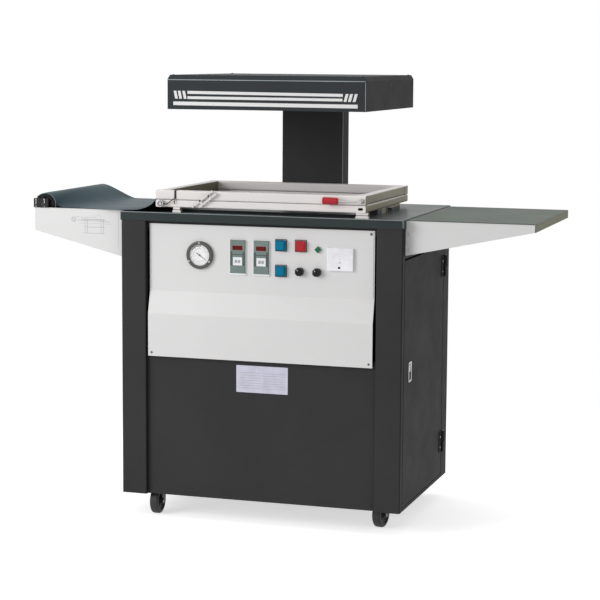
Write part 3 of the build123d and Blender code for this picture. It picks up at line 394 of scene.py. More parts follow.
class Shape:
    """Points in millimetres on the machine and the faces between them."""

    def __init__(self):
        self.points = []
        self.faces = []

    def add(self, points, faces):
        start = len(self.points)
        self.points += points
        self.faces += [tuple(start + index for index in face) for face in faces]

    def loops(self, loops, closed_ends=True):
        """Skin over loops of equally many points each, with a face at each end."""
        count = len(loops[0])
        faces = []
        for row in range(len(loops) - 1):
            for column in range(count):
                after = (column + 1) % count
                low, high = row * count, (row + 1) * count
                faces.append((low + column, low + after, high + after, high + column))
        if closed_ends:
            faces.append(tuple(reversed(range(count))))
            last = (len(loops) - 1) * count
            faces.append(tuple(range(last, last + count)))
        self.add([point for loop in loops for point in loop], faces)

    def prism(self, origin, face, outline, height, edge=0.0):
        """Plate on a face, with its outer edge drawn in towards its middle."""
        across, up = face
        out = across.cross(up)
        centre = Vector((sum(u for u, _ in outline), sum(v for _, v in outline))) / len(outline)

        def loop(level, inset):
            points = []
            for u, v in outline:
                arm = Vector((u, v)) - centre
                arm *= max(0.0, 1 - inset / max(arm.length, 0.001))
                arm += centre
                points.append(Vector(origin) + across * arm.x + up * arm.y + out * level)
            return points

        self.loops([loop(0.0, 0.0), loop(height - edge, 0.0), loop(height, edge)])

    def plate(self, origin, face, x, z, height, edge=0.0, corner=0.0):
        """Rectangular prism between two pairs along the face."""
        self.prism(origin, face, rectangle(x, z, corner), height, edge)

    def lathe(self, origin, face, profile, segments, ring=False):
        """Turned form on a face, from pairs of radius and height; a ring's profile closes on itself."""
        out = face[0].cross(face[1])
        loops = [circle(Vector(origin) + out * level, face, radius, segments) for radius, level in profile]
        if ring:
            loops.append(loops[0])
        self.loops(loops, not ring)

    def tube(self, path, radius):
        """Round wire along a path of points."""
        path = [Vector(point) for point in path]
        loops = []
        side = None
        for index, point in enumerate(path):
            ahead = path[min(index + 1, len(path) - 1)] - path[max(index - 1, 0)]
            ahead.normalize()
            if side is None:
                side = ahead.orthogonal().normalized()
            side = (side - ahead * side.dot(ahead)).normalized()
            loops.append(circle(point, (side, ahead.cross(side)), radius, WIRE_SIDES))
        self.loops(loops)

    def piece(self, name, material, slot, body="cabinet", smooth=False):
        """Makes the object and rides it on a body; the slot argument is not used."""
        mesh = bpy.data.meshes.new(name)
        mesh.from_pydata([at(*point) for point in self.points], [], self.faces)
        mesh.materials.append(material)
        mesh.polygons.foreach_set("use_smooth", [smooth] * len(mesh.polygons))
        mesh.update()
        piece = bpy.data.objects.new(name, mesh)
        bpy.context.scene.collection.objects.link(piece)
        if body:
            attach(piece, body)
        return piece


CORNER_STEPS = 5


def rectangle(x, z, corner=0.0):
    """Outline between two pairs, with rounded corners."""
    if not corner:
        return [(x[0], z[0]), (x[1], z[0]), (x[1], z[1]), (x[0], z[1])]
    outline = []
    centres = [(x[1] - corner, z[0] + corner), (x[1] - corner, z[1] - corner),
               (x[0] + corner, z[1] - corner), (x[0] + corner, z[0] + corner)]
    for quarter, (u, v) in enumerate(centres):
        for step in range(CORNER_STEPS + 1):
            angle = math.pi / 2 * (quarter - 1 + step / CORNER_STEPS)
            outline.append((u + corner * math.cos(angle), v + corner * math.sin(angle)))
    return outline


def front_of(node, depth=None):
    """Middle of a node's front face, or the place behind it at another depth."""
    x, y, z = extent(node)
    return (middle(x), y[0] if depth is None else depth, middle(z))


def about(centre, size):
    return (centre - size / 2, centre + size / 2)


def screw_head(shape, origin, face, radius, height):
    """Domed screw head with a round recess in its middle."""
    shape.lathe(origin, face, [
        (radius, 0.0), (radius, height * 0.35), (radius * 0.86, height * 0.75), (radius * 0.55, height),
        (radius * 0.3, height), (radius * 0.22, height * 0.45),
    ], 20)


def screw_piece(name, material, slot, places, face, size, body="cabinet"):
    """Piece of like screws, with a size of radius and height."""
    screws = Shape()
    for place in places:
        screw_head(screws, place, face, *size)
    screws.piece(name, material, slot, body, smooth=True)


def hexagon(shape, origin, face, radius, height):
    """Bolt head or nut with a bevelled edge."""
    outline = [(radius * math.cos(math.pi / 3 * k), radius * math.sin(math.pi / 3 * k)) for k in range(6)]
    shape.prism(origin, face, outline, height, height * 0.15)


# Control panel

PANEL_X, PANEL_Y, PANEL_Z = extent("control_panel")
PANEL_FACE = 15.0
PANEL_FOLD = 640.0
GAUGE_X, GAUGE_Y, GAUGE_Z = extent("vacuum_gauge")
GAUGE_RECESS = 5.0
BEZEL_SCREWS = 33.5
DIAL_RADIUS = 28.8
DIAL_SHEET = 1.0
TICKS = 40
TICK_START = math.radians(225)
TICK_SWEEP = math.radians(270)
TICK_END = 25.5
BAND_PARTS = 18
BAND_RADII = (24.0, 26.2)
NEEDLE_LEAN = math.radians(-36)
COVER_LIFT = 2.8


def spoke(angle, inner, outer, half):
    """Outline of a thin bar between two radii, pointing at an angle."""
    along = (math.cos(angle), math.sin(angle))
    return [(along[0] * radius - along[1] * side * half, along[1] * radius + along[0] * side * half)
            for radius, side in ((inner, 1), (inner, -1), (outer, -1), (outer, 1))]


def on_gauge(rise):
    """Place on the gauge's axis, so far in front of its floor."""
    return (middle(GAUGE_X), GAUGE_Y[0] + GAUGE_RECESS - rise, middle(GAUGE_Z))


def make_gauge_scale():
    """Dial card with ticks, a thin circle and a thick band at the top."""
    dial = Shape()
    dial.lathe(on_gauge(0), FRONT, [(DIAL_RADIUS, 0.0), (DIAL_RADIUS, 0.8),
                                    (DIAL_RADIUS - 0.4, DIAL_SHEET), (0.5, DIAL_SHEET)], 64)
    dial.piece("gauge_dial", DIAL, "white_plastic")
    marks = Shape()
    place = on_gauge(DIAL_SHEET)
    for index in range(TICKS + 1):
        angle = TICK_START - TICK_SWEEP * index / TICKS
        inner, half = (21.5, 0.42) if index % 5 == 0 else (23.4, 0.2)
        marks.prism(place, FRONT, spoke(angle, inner, TICK_END, half), 0.12)
    marks.lathe(place, FRONT, [(18.2, 0.0), (18.2, 0.1), (17.8, 0.1), (17.8, 0.0)], 64, ring=True)
    inner, outer = BAND_RADII
    for index in range(BAND_PARTS):
        start, end = (math.radians(150 - 70 * (index + k) / BAND_PARTS) for k in (0, 1))
        corners = ((inner, start), (inner, end), (outer, end), (outer, start))
        marks.prism(place, FRONT, [(r * math.cos(a), r * math.sin(a)) for r, a in corners], 0.14)
    marks.piece("gauge_scale", PRINT, "black_plastic")


def make_gauge_needle():
    needle = Shape()
    ahead = (math.cos(NEEDLE_LEAN), math.sin(NEEDLE_LEAN))
    wide = (1.1 * ahead[1], -1.1 * ahead[0])
    outline = [(ahead[0] * reach + wide[0] * side, ahead[1] * reach + wide[1] * side)
               for reach, side in ((-10.0, -1), (-10.0, 1), (23.0, 0.3), (23.0, -0.3))]
    needle.prism(on_gauge(2.2), FRONT, outline, 0.4, 0.1)
    needle.lathe(on_gauge(DIAL_SHEET), FRONT, [(2.2, 0.0), (2.2, 1.8), (1.5, 2.2), (0.2, 2.3)], 24)
    needle.piece("gauge_needle", PRINT, "black_plastic")


def make_gauge_cover():
    """Slightly domed clear cover, and three screws in the bezel."""
    dome = [(DIAL_RADIUS * share, level) for share, level in ((1, 0.0), (1, 0.7), (0.7, 1.2), (0.35, 1.5))]
    cover = Shape()
    cover.lathe(on_gauge(COVER_LIFT), FRONT, dome + [(0.5, 1.6)], 48)
    glass = cover.piece("gauge_cover", GLASS, "white_plastic", smooth=True)
    glass.visible_shadow = False
    glass.visible_diffuse = False
    x, _, z = on_gauge(0)
    angles = [math.radians(degrees) for degrees in (90, 210, 330)]
    places = [(x + BEZEL_SCREWS * math.cos(a), GAUGE_Y[0], z + BEZEL_SCREWS * math.sin(a)) for a in angles]
    screw_piece("gauge_screws", STEEL, "steel", places, FRONT, (2.6, 1.2))


TIMERS_X, TIMERS_Y, TIMERS_Z = extent("timers")
TIMER_WIDTH = 43.0
TIMER_HEIGHT = 90.0
TIMER_RECESS = 1.5
WINDOW_LEVEL = 24.0
WINDOW_HALF = (13.3, 5.3)
RIM_HALF = (14.6, 6.2)
RIM_WIDTH = 1.0
DIGIT_SIZE = (3.6, 6.6)
DIGIT_BAR = 0.5
DIGIT_PITCH = 6.0
PAD_LEVEL = -12.5
PAD_HALF = (13.2, 11.2)
KEY_HALF = (3.4, 4.2)
KEY_OFFSET = 4.4
TRIM_WIDTH = 2.2


def box_about(half, corner=0.0):
    return rectangle((-half[0], half[0]), (-half[1], half[1]), corner)


def zero_figure(shape, origin):
    """Figure of six bars round a box, as a segment display shows zero."""
    width, height = DIGIT_SIZE
    half = height / 2
    right = (width - DIGIT_BAR, width)
    left = (0, DIGIT_BAR)
    for x, z in (((0, width), (height - DIGIT_BAR, height)), (right, (half, height)), (right, (0, half)),
                 ((0, width), (0, DIGIT_BAR)), (left, (0, half)), (left, (half, height))):
        shape.plate(origin, FRONT, x, z, 0.1)


def add_display_rim(shape, x, z):
    half_x, half_z = RIM_HALF
    for row in (-half_z, half_z - RIM_WIDTH):
        shape.plate((x, TIMERS_Y[0], z), FRONT, (-half_x, half_x), (row, row + RIM_WIDTH), 0.3)
    for column in (-half_x, half_x - RIM_WIDTH):
        shape.plate((x, TIMERS_Y[0], z), FRONT, (column, column + RIM_WIDTH), (-half_z, half_z), 0.3)


def add_timer_trim(shape, x, z):
    """White strips beside a timer and a sill under it."""
    half = TIMER_WIDTH / 2
    for strip in ((-half - TRIM_WIDTH, -half), (half, half + TRIM_WIDTH)):
        shape.plate((x, PANEL_FACE, z), FRONT, strip, about(0, TIMER_HEIGHT), 2.0, 0.4)
    sill = rectangle(about(0, TIMER_WIDTH + 2 * TRIM_WIDTH), (-4.5, 0))
    shape.prism((x, PANEL_FACE, z - TIMER_HEIGHT / 2), FRONT, sill, 4.2, 0.8)


def make_timers():
    """Display window with dim figures, key pad, shaded bands and white frame for each timer."""
    z = middle(TIMERS_Z)
    front = TIMERS_Y[0]
    floor = front + TIMER_RECESS
    windows, figures, pads, keys, rims, trims, bands = (Shape() for _ in range(7))
    for x in (TIMERS_X[0] + TIMER_WIDTH / 2, TIMERS_X[1] - TIMER_WIDTH / 2):
        windows.prism((x, floor, z + WINDOW_LEVEL), FRONT, box_about(WINDOW_HALF, 0.6), 0.9, 0.2)
        add_display_rim(rims, x, z + WINDOW_LEVEL)
        for column in range(3):
            zero_figure(figures, (x - 8 + column * DIGIT_PITCH, floor - 0.9, z + 20.6))
        pads.prism((x, floor, z + PAD_LEVEL), FRONT, box_about(PAD_HALF, 0.8), 1.0, 0.3)
        for side in (-1, 1):
            place = (x + side * KEY_OFFSET, floor - 1.0, z + PAD_LEVEL)
            keys.prism(place, FRONT, box_about(KEY_HALF, 1.0), 0.7, 0.3)
            band = tuple(sorted((side * RIM_HALF[0], side * 20.4)))
            bands.plate((x, front, z), FRONT, band, (-24.5, 14.0), 0.2, 0.1)
        add_timer_trim(trims, x, z)
        bands.plate((x, front, z + 6), FRONT, about(0, TIMER_WIDTH - 3), (-1.2, 1.2), 0.25)
    windows.piece("timer_windows", DISPLAY, "red_plastic")
    figures.piece("timer_figures", RED_PLASTIC, "red_plastic")
    pads.piece("timer_pads", WHITE_PLASTIC, "white_plastic")
    keys.piece("timer_keys", FAINT_PRINT, "white_plastic")
    rims.piece("timer_display_rims", DISPLAY_RIM, "red_plastic")
    trims.piece("timer_trims", WHITE_PLASTIC, "white_plastic")
    bands.piece("timer_bands", TIMER_DARK, "timer_plastic")


BUTTON_FACE = 20.5
COLLAR_SPAN = (-16.0, 16.0)
COLLAR_EDGE = (14.8, 16.4)


def make_buttons():
    """Raised inner face on each button cap, lighter on the blue ones as painted light on their fronts, and a
    collar on the panel round it.
    """
    collars = Shape()
    for name, body, material, slot in (
        ("vacuum_button", "vacuum_switch", BLUE_LIT_FACE, "blue_plastic"),
        ("heat_button", "heat_switch", BLUE_LIT_FACE, "blue_plastic"),
        ("stop_button", "stop_switch", RED_PLASTIC, "red_plastic"),
    ):
        face = Shape()
        face.plate(front_of(name), FRONT, about(0, BUTTON_FACE), about(0, BUTTON_FACE), 0.7, 0.5, 2.0)
        face.piece(name + "_face", material, slot, body)
        for side in (-1, 1):
            bar = tuple(sorted(side * edge for edge in COLLAR_EDGE))
            for spans in ((COLLAR_SPAN, bar), (bar, COLLAR_SPAN)):
                collars.plate(front_of(name, PANEL_FACE), FRONT, *spans, 1.4, 0.3)
    collars.piece("button_collars", BLACK_PLASTIC, "black_plastic")


FLUTES = 8
FLUTE_POINTS = 48
FLUTE_DEPTH = 1.5
POINTER_LEAN = math.radians(125)


def make_knob_details():
    """Fluted cap with a light pointer on each knob, and a washer on the panel behind it."""
    for name, body in (("knob_left", "left_dial"), ("knob_right", "right_dial")):
        x, y, _ = extent(name)
        centre = front_of(name)
        radius = (x[1] - x[0]) / 2
        star = []
        for index in range(FLUTE_POINTS):
            angle = 2 * math.pi * index / FLUTE_POINTS
            reach = radius + 0.3 - FLUTE_DEPTH * (0.5 + 0.5 * math.cos(FLUTES * angle))
            star.append((reach * math.cos(angle), reach * math.sin(angle)))
        cap = Shape()
        cap.prism(front_of(name, y[1] - 2.0), FRONT, star, y[1] - y[0] - 3.4, 1.0)
        cap.lathe(centre, FRONT, [(8.6, 0.0), (8.4, 0.5), (7.4, 0.8), (0.4, 0.9)], 32)
        cap.piece(name + "_cap", BLACK_PLASTIC, "black_plastic", body)
        pointer = Shape()
        pointer.prism(front_of(name, y[0] - 0.75), FRONT, spoke(POINTER_LEAN, 3.5, 8.0, 0.5), 0.25)
        pointer.piece(name + "_pointer", WHITE_PLASTIC, "white_plastic", body)
        washer = Shape()
        washer.lathe(front_of(name, PANEL_FACE), FRONT, [(9.0, 0.0), (9.0, 0.6), (8.5, 0.8), (3.2, 0.8)], 32)
        washer.piece(name + "_washer", STEEL, "steel")


def make_lamp():
    low, high = extent("pilot_lamp")[0]
    reach = (high - low) / 2 * 0.55
    facet = Shape()
    facet.prism(front_of("pilot_lamp"), FRONT, [(-reach, 0), (0, -reach), (reach, 0), (0, reach)], 0.8, 0.7)
    facet.piece("lamp_facet", GREEN_LENS, "green_lens")


METER_X, METER_Y, METER_Z = extent("panel_meter")
METER_RECESS = 1.5
METER_CARD = 1.4
METER_TICKS = 20


def make_meter():
    """Scale card with an arc of ticks, a needle and its adjusting screw."""
    x = middle(METER_X)
    front = METER_Y[0]
    low = METER_Z[0] + 19.0
    floor = front + METER_RECESS
    face = floor - METER_CARD
    card = Shape()
    outline = rectangle(about(0, 61.8), (low + 0.1, METER_Z[1] - 5.1))
    card.prism((x, floor, 0), FRONT, outline, METER_CARD)
    card.piece("meter_card", WHITE_PLASTIC, "white_plastic")
    marks = Shape()
    pivot = METER_Z[0] + 10.0
    for index in range(METER_TICKS + 1):
        angle = math.radians(140 - 100 * index / METER_TICKS)
        inner = 33.0 if index % 5 == 0 else 34.6
        marks.prism((x, face, pivot), FRONT, spoke(angle, inner, 36.6, 0.18), 0.06)
    marks.piece("meter_scale", FAINT_PRINT, "black_plastic")
    needle = Shape()
    needle.plate((x, face, pivot), FRONT, (-0.16, 0.16), (16.0, 30.0), 0.1)
    needle.plate((x, face, low + 3.5), FRONT, (-3.4, 3.4), (-0.8, 0.8), 0.12, corner=0.4)
    needle.piece("meter_needle", SEAM, "black_plastic")
    hub = Shape()
    hub.lathe((x - 2.0, front, METER_Z[0] + 9.0), FRONT, [(3.2, 0.0), (3.2, 0.6), (2.4, 1.0), (0.3, 1.1)], 24)
    hub.piece("meter_adjuster", BLACK_PLASTIC, "black_plastic", smooth=True)


def make_panel_details():
    """Screws near the panel's corners, and dark lines painted as the shade along its side folds."""
    screws = Shape()
    right = PANEL_X[1] - 10
    screw_head(screws, (right, PANEL_FACE, PANEL_Z[1] - 9), FRONT, 3.4, 1.6)
    for x in (-right, right):
        screw_head(screws, (x, PANEL_Y[0], PANEL_Z[0] + 10), FRONT, 3.0, 1.6)
    screws.piece("panel_screws", BEZEL_METAL, "steel", smooth=True)
    fold_shade = Shape()
    for x in (PANEL_X[0] + 2.5, PANEL_X[1] - 3.5):
        fold_shade.plate((x, PANEL_FACE, 0), FRONT, (0.0, 0.8), (PANEL_FOLD, PANEL_Z[1] - 2), 0.3, 0.1)
    fold_shade.piece("panel_fold_shade", SEAM, "white_paint")


CARD_X = (-67.0, 80.0)
CARD_Z = (366.0, 440.0)
CARD_LINES = 7
CARD_PITCH = 7.0
CARD_SHEET = 0.4


def make_card():
    """Bare card on the lower front with faint ruled lines in two columns."""
    front = extent("lower_front_panel")[1][0]
    card = Shape()
    card.plate((0, front, 0), FRONT, CARD_X, CARD_Z, CARD_SHEET, 0.1, 2.0)
    card.piece("front_card", CARD, "white_plastic")
    lines = Shape()
    for column in ((CARD_X[0] + 8, middle(CARD_X) - 4), (middle(CARD_X) + 4, CARD_X[1] - 8)):
        for row in range(CARD_LINES):
            level = CARD_Z[0] + 12 + CARD_PITCH * row
            lines.plate((0, front - CARD_SHEET, 0), FRONT, column, (level, level + 0.9), 0.05)
    lines.piece("card_rules", FAINT_PRINT, "white_plastic")


# Hood

HOOD_X, HOOD_Y, HOOD_Z = extent("hood_skirt")
COLUMN_X, COLUMN_Y, _ = extent("column")
TABLE_X, TABLE_Y, TABLE_Z = extent("table_top")
TABLE = TABLE_Z[1]
STRIPE_SHEET = 0.3

# Each long stripe's left and right end, as x and rise over the hood's lower edge, and its height
LONG_STRIPES = (((-222, 42), (217, 39), 8.0), ((-222, 28), (216, 27), 7.5), ((-263, 11), (258, 9), 10.0))

# Slanting bars: upper left corners, the shift of the lower end, and the levels of both ends
SLANTING_BARS = (((-262, -250, -237), 4.5, (28.5, 50)), ((250, 237, 225), -6.0, (26, 47)))
BAR_WIDTH = 8.0


def make_hood_stripes():
    stripes = Shape()
    place = (0, HOOD_Y[0], HOOD_Z[0])
    for (left, left_low), (right, right_low), height in LONG_STRIPES:
        outline = [(left, left_low), (right, right_low)]
        outline += [(right, right_low + height), (left, left_low + height)]
        stripes.prism(place, FRONT, outline, STRIPE_SHEET, 0.1)
    for starts, lean, (low, high) in SLANTING_BARS:
        for x in starts:
            outline = [(x + lean, low), (x + lean + BAR_WIDTH, low), (x + BAR_WIDTH, high), (x, high)]
            stripes.prism(place, FRONT, outline, STRIPE_SHEET, 0.1)
    stripes.piece("hood_stripes", STRIPE, "white_paint")


def make_edge_highlights():
    """Painted highlight lines along the hood's upper and right folds and the column's right edge."""
    edges = Shape()
    top = HOOD_Z[1]
    long_edge = rectangle((HOOD_X[0] + 1, HOOD_X[1] - 1), (top - 2.2, top - 0.2))
    edges.prism((0, HOOD_Y[0], 0), FRONT, long_edge, 0.5, 0.4)
    edges.plate((HOOD_X[1] - 2.0, HOOD_Y[0], 0), FRONT, (0.0, 1.6), (HOOD_Z[0] + 2, top - 4), 0.3, 0.1)
    column_edge = rectangle((0.0, 1.8), (TABLE + 4, HOOD_Z[0] - 4))
    edges.prism((COLUMN_X[1] - 2.4, COLUMN_Y[0], 0), FRONT, column_edge, 0.3, 0.1)
    edges.piece("edge_highlights", EDGE_HIGHLIGHT, "hood_paint")


def make_hood_screws():
    """Screws in the lid's corners and along the skirt's right side."""
    screws = Shape()
    lid = extent("hood_lid")[2][1]
    for x in (HOOD_X[0] + 12, HOOD_X[1] - 12):
        for y in (HOOD_Y[0] + 16, HOOD_Y[1] - 16):
            screw_head(screws, (x, y, lid), TOP, 3.4, 1.2)
    for y in (HOOD_Y[0] + 60, middle(HOOD_Y), HOOD_Y[1] - 60):
        screw_head(screws, (HOOD_X[1], y, HOOD_Z[1] - 14), RIGHT, 2.8, 1.0)
    screws.piece("hood_screws", BLACK_METAL, "black_metal", smooth=True)


ANGLE_REACH = 18.0
ANGLE_SHEET = 3.0


def make_column_angles():
    angles = Shape()
    for side, x in ((-1, COLUMN_X[0]), (1, COLUMN_X[1])):
        span_x = tuple(sorted((x, x + side * ANGLE_REACH)))
        plate = rectangle(span_x, (COLUMN_Y[0] + 6, COLUMN_Y[1] - 6), 2.0)
        angles.prism((0, 0, TABLE), TOP, plate, ANGLE_SHEET, 0.6)
        hexagon(angles, (x + side * 10, middle(COLUMN_Y), TABLE + ANGLE_SHEET), TOP, 5.5, 3.6)
    angles.piece("column_angles", BLACK_METAL, "black_metal")


# Film frame and its fittings

LOWER_X, _, LOWER_Z = extent("lower_frame")
_, UPPER_Y, UPPER_Z = extent("upper_frame")
FRAME_TOP = UPPER_Z[1]
FRAME_FRONT = 2.0
HOOK_X = -239.0

# The hook's two wires, as x from its strap, y on the machine and z from the frame's top
HOOK_WIRE = ((0, -2.4, -21), (-4, -3.4, -23), (-13, -4.4, -30), (-21, -4.4, -35.5), (-26, -4.0, -37.8),
             (-29, -2.6, -37), (-29.5, -1.4, -35))
HOOK_LOOP = ((0, -1.0, -24.5), (0, -2.6, -25.2), (-1, -3.4, -28), (-0.5, -3.0, -33.5), (0, -1.2, -36.5))
TOGGLE_RIVETS = ((-165.0, 885.0), (-140.0, 898.7))


def make_hook_strap():
    """Strap folded over the upper frame, with a raised tongue on its front."""
    strap = Shape()
    face = rectangle((-2.6, 2.6), (FRAME_TOP - 22, FRAME_TOP - 0.4), 0.8)
    tongue = rectangle((-1.4, 1.4), (FRAME_TOP - 20, FRAME_TOP - 5), 0.6)
    fold = rectangle((HOOK_X - 2.6, HOOK_X + 2.6), (FRAME_FRONT, FRAME_FRONT + 16), 0.8)
    strap.prism((HOOK_X, FRAME_FRONT, 0), FRONT, face, 1.6, 0.4)
    strap.prism((HOOK_X, FRAME_FRONT - 1.6, 0), FRONT, tongue, 1.2, 0.4)
    strap.prism((0, 0, FRAME_TOP), TOP, fold, 1.4, 0.4)
    strap.piece("hook_strap", BLACK_METAL, "black_metal", "clamp")


def make_wire_hook():
    """Bent wire from the strap to the corner knob, a loop of wire, and a ring in the knob's face."""
    hook = Shape()
    for path, radius in ((HOOK_WIRE, 1.3), (HOOK_LOOP, 1.1)):
        hook.tube([(HOOK_X + x, y, FRAME_TOP + z) for x, y, z in path], radius)
    ring = [(6.4, 0.0), (6.4, 0.8), (4.8, 0.8), (4.8, 0.0)]
    hook.lathe(front_of("corner_knob"), FRONT, ring, 32, ring=True)
    hook.piece("wire_hook", BLACK_METAL, "black_metal", "lift", smooth=True)


def make_toggle_rivets():
    rivets = Shape()
    front = extent("toggle_latch")[1][0]
    for x, z in TOGGLE_RIVETS:
        rivets.lathe((x, front, z), FRONT, [(2.6, 0.0), (2.6, 0.3), (1.7, 0.8), (0.2, 0.9)], 20)
    rivets.piece("toggle_rivets", BLACK_METAL, "black_metal", "toggle", smooth=True)


SEAL_INSET = 8.0
SEAL_WIDTH = 12.0


def make_seals():
    """Rubber strips between the two film frames along the front and back."""
    seal = Shape()
    x = (LOWER_X[0] + SEAL_INSET, LOWER_X[1] - SEAL_INSET)
    for y in (FRAME_FRONT + SEAL_INSET, UPPER_Y[1] - 24 - SEAL_WIDTH):
        seal.plate((0, 0, LOWER_Z[1] + 0.1), TOP, x, (y, y + SEAL_WIDTH), 0.7)
    seal.piece("frame_seal", RUBBER, "rubber", "lift")


# Dark pads painted as the shadow under the film frame on the right: their span in y, and how far they stand
# over the table
SHADOW_PADS = (((127.5, 172), 14.6), ((216, 230.5), 14.6), ((276.5, 363.5), 9.5))
BLOCK_SEAM = (7.6, 9.0)
BLOCK_FRONT = 6.0
BLOCK_RIGHT = 303.0


def make_shadow_pads():
    """Black sheets painted as the shadow between the rests under the film frame, and seams in the front
    blocks.
    """
    pads = Shape()
    right = LOWER_X[1] - 2.0
    for y, height in SHADOW_PADS:
        z = (TABLE + 0.3, TABLE + height)
        pads.plate((right, 0, 0), RIGHT, y, z, 0.8, 0.2)
        pads.plate((0, y[0] - 0.5, 0), FRONT, (right - 24, right), z, 0.4)
    seam = (TABLE + BLOCK_SEAM[0], TABLE + BLOCK_SEAM[1])
    for x in ((-249, -225), (267, BLOCK_RIGHT)):
        pads.plate((0, BLOCK_FRONT, 0), FRONT, x, seam, 0.3)
    pads.plate((BLOCK_RIGHT, 0, 0), RIGHT, (BLOCK_FRONT, BLOCK_FRONT + 14), seam, 0.3)
    pads.piece("shadow_pads_and_seams", RUBBER, "rubber")


# Film

_, ROLL_Y, ROLL_Z = extent("film_roll")
WEB_Y = extent("film_web")[1]
FILM_RADIUS = (ROLL_Z[1] - ROLL_Z[0]) / 2
FILM_GAP = 0.55
FILM_RISE_RUN = 90.0
FILM_STEPS = 24
FILM_SKEW = 38.0
FILM_ROWS = 64
WRAP_START = math.radians(100)
WRAP_STEPS = 14


def hermite(start, end, leave, arrive, t):
    """Point on a smooth run between two places with given end directions."""
    t2, t3 = t * t, t * t * t
    return (start * (2 * t3 - 3 * t2 + 1) + leave * (t3 - 2 * t2 + t)
            + end * (3 * t2 - 2 * t3) + arrive * (t3 - t2))


def smooth_step(value):
    value = min(1.0, max(0.0, value))
    return value * value * (3 - 2 * value)


def film_course(share):
    """Film's line in the XZ plane, from its front edge at share 0 to its back edge at 1."""
    centre = Vector(ROLL_AXIS)
    leave = math.radians(8 + 86 * share ** 0.7)

    def on_roll(angle):
        return centre + Vector((math.cos(angle), math.sin(angle))) * (FILM_RADIUS + FILM_GAP)

    points = [on_roll(WRAP_START + (leave - WRAP_START) * k / WRAP_STEPS) for k in range(WRAP_STEPS)]
    level = TABLE + FILM_GAP
    edge = LOWER_X[0]
    start = on_roll(leave)
    landing = Vector((centre.x + 58 + 55 * share, level))
    rise_start = Vector((edge - FILM_RISE_RUN * (0.8 + 0.2 * share), level))
    rise_end = Vector((edge, LOWER_Z[1] + 0.5))
    fall = Vector((math.sin(leave), -math.cos(leave))) * (20 + 70 * share)
    flat = Vector((30 + 65 * share, 0))
    turn, rise = Vector((80, 0)), Vector((25, 70))
    points += [hermite(start, landing, fall, flat, k / FILM_STEPS) for k in range(FILM_STEPS)]
    points += [landing.lerp(rise_start, k / FILM_STEPS) for k in range(FILM_STEPS)]
    points += [hermite(rise_start, rise_end, turn, rise, k / FILM_STEPS) for k in range(FILM_STEPS + 1)]
    points.append(rise_end + Vector((9.0, 0)))
    return points


def film_point(share, point):
    """Place of a point of the course, drawn askew and lifted by creases and ripples."""
    low_y, high_y = WEB_Y
    drawn = smooth_step((point.x + 590) / 230)
    near = smooth_step((point.x + 470) / 120)
    free = smooth_step((point.x + 600) / 60) * smooth_step((LOWER_X[0] - point.x) / 25)
    y = low_y + (high_y - low_y) * share - FILM_SKEW * drawn
    fan = (y - low_y + FILM_SKEW) / (1 + 0.5 * smooth_step((point.x + 420) / 120))
    crease = math.sin(fan * 0.2 + point.x * 0.03) * math.exp(-share * 4)
    ripple = noise.noise(Vector((point.x * 0.012, y * 0.03, 0.3)))
    lift = free * (2.4 * crease * near + 0.8 * ripple + 0.7)
    return Vector((point.x, y, point.y + max(0.0, lift)))


def make_film():
    """Film from the roll over the tray and table into the frame, with creases where it is pulled askew."""
    points = []
    for row in range(FILM_ROWS + 1):
        share = row / FILM_ROWS
        points += [film_point(share, point) for point in film_course(share)]
    count = len(points) // (FILM_ROWS + 1)
    faces = []
    for row in range(FILM_ROWS):
        for column in range(count - 1):
            a = row * count + column
            faces.append((a, a + 1, a + count + 1, a + count))
    shape = Shape()
    shape.add(points, faces)
    film = shape.piece("film_sheet", FILM, "film", None, smooth=True)
    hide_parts("film_web")
    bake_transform(film)


def make_roll_ends():
    """Pale edge of the outermost winding and two fine rings at each end of the roll."""
    ends = Shape()
    rings = ((FILM_RADIUS, FILM_RADIUS - 1.0, 1.0), (27.5, 27.0, 0.4), (24.0, 23.6, 0.5))
    for y, face in ((ROLL_Y[0], FRONT), (ROLL_Y[1], BACK)):
        for outer, inner, height in rings:
            profile = [(outer, 0.0), (outer, height * 0.7), (middle((outer, inner)), height),
                       (inner, height * 0.7), (inner, 0.0)]
            ends.lathe((ROLL_AXIS[0], y, ROLL_AXIS[1]), face, profile, 72, ring=True)
    ends.piece("roll_ends", FILM_EDGE, "film", "roll", smooth=True)


def make_holder_details():
    """Screws and bright ribs on the front roll holder, and caps on the shaft's ends."""
    x, y, z = extent("roll_holders")
    places = [(middle(x) + offset, y[0], z[0] + 7) for offset in (-15, 14)]
    screw_piece("holder_screws", BLACK_METAL, "black_metal", places, FRONT, (2.6, 1.2))
    ribs, caps = Shape(), Shape()
    for offset in (-15, 10):
        ribs.plate((middle(x) + offset, y[0], 0), FRONT, (-0.9, 0.9), (z[0] + 1, z[0] + 24), 0.5, 0.2)
    ribs.piece("holder_ribs", CHROME, "gauge_metal")
    shaft_y = extent("roll_shaft")[1]
    for level, face in ((shaft_y[0], FRONT), (shaft_y[1], BACK)):
        caps.lathe((ROLL_AXIS[0], level, ROLL_AXIS[1]), face, [(5.4, 0.0), (5.0, 0.8), (0.4, 1.0)], 32)
    caps.piece("shaft_ends", BLACK_METAL, "steel", "roll")


# Trays

TRAY_X, TRAY_Y, TRAY_Z = extent("film_tray")
SKETCH_X = TRAY_X[0] + 152
SKETCH_Z = TRAY_Z[1] - 67

# Strokes of the sketch from its lower left leg: start, end and half the line's width
SKETCH = [((x, 0), (x, 37), 0.45) for x in (0, 7, 48, 55)]
SKETCH += [((-4, z), (59, z), 0.45) for z in (0, 17)]
SKETCH += [((-11, z), (59, z), 0.45) for z in (34, 37, 39)]
SKETCH += [((-24, 36), (-11, 34), 0.45), ((59, 34), (77, 32), 0.45), ((-18, 27), (81, 27), 0.25)]
SKETCH_FILM = [((-28, 44), (24, 44), 0.3), ((24, 42), (42, 52), 0.3), ((42, 52), (50, 46), 0.3)]
SKETCH_ROLL = (-34, 37)


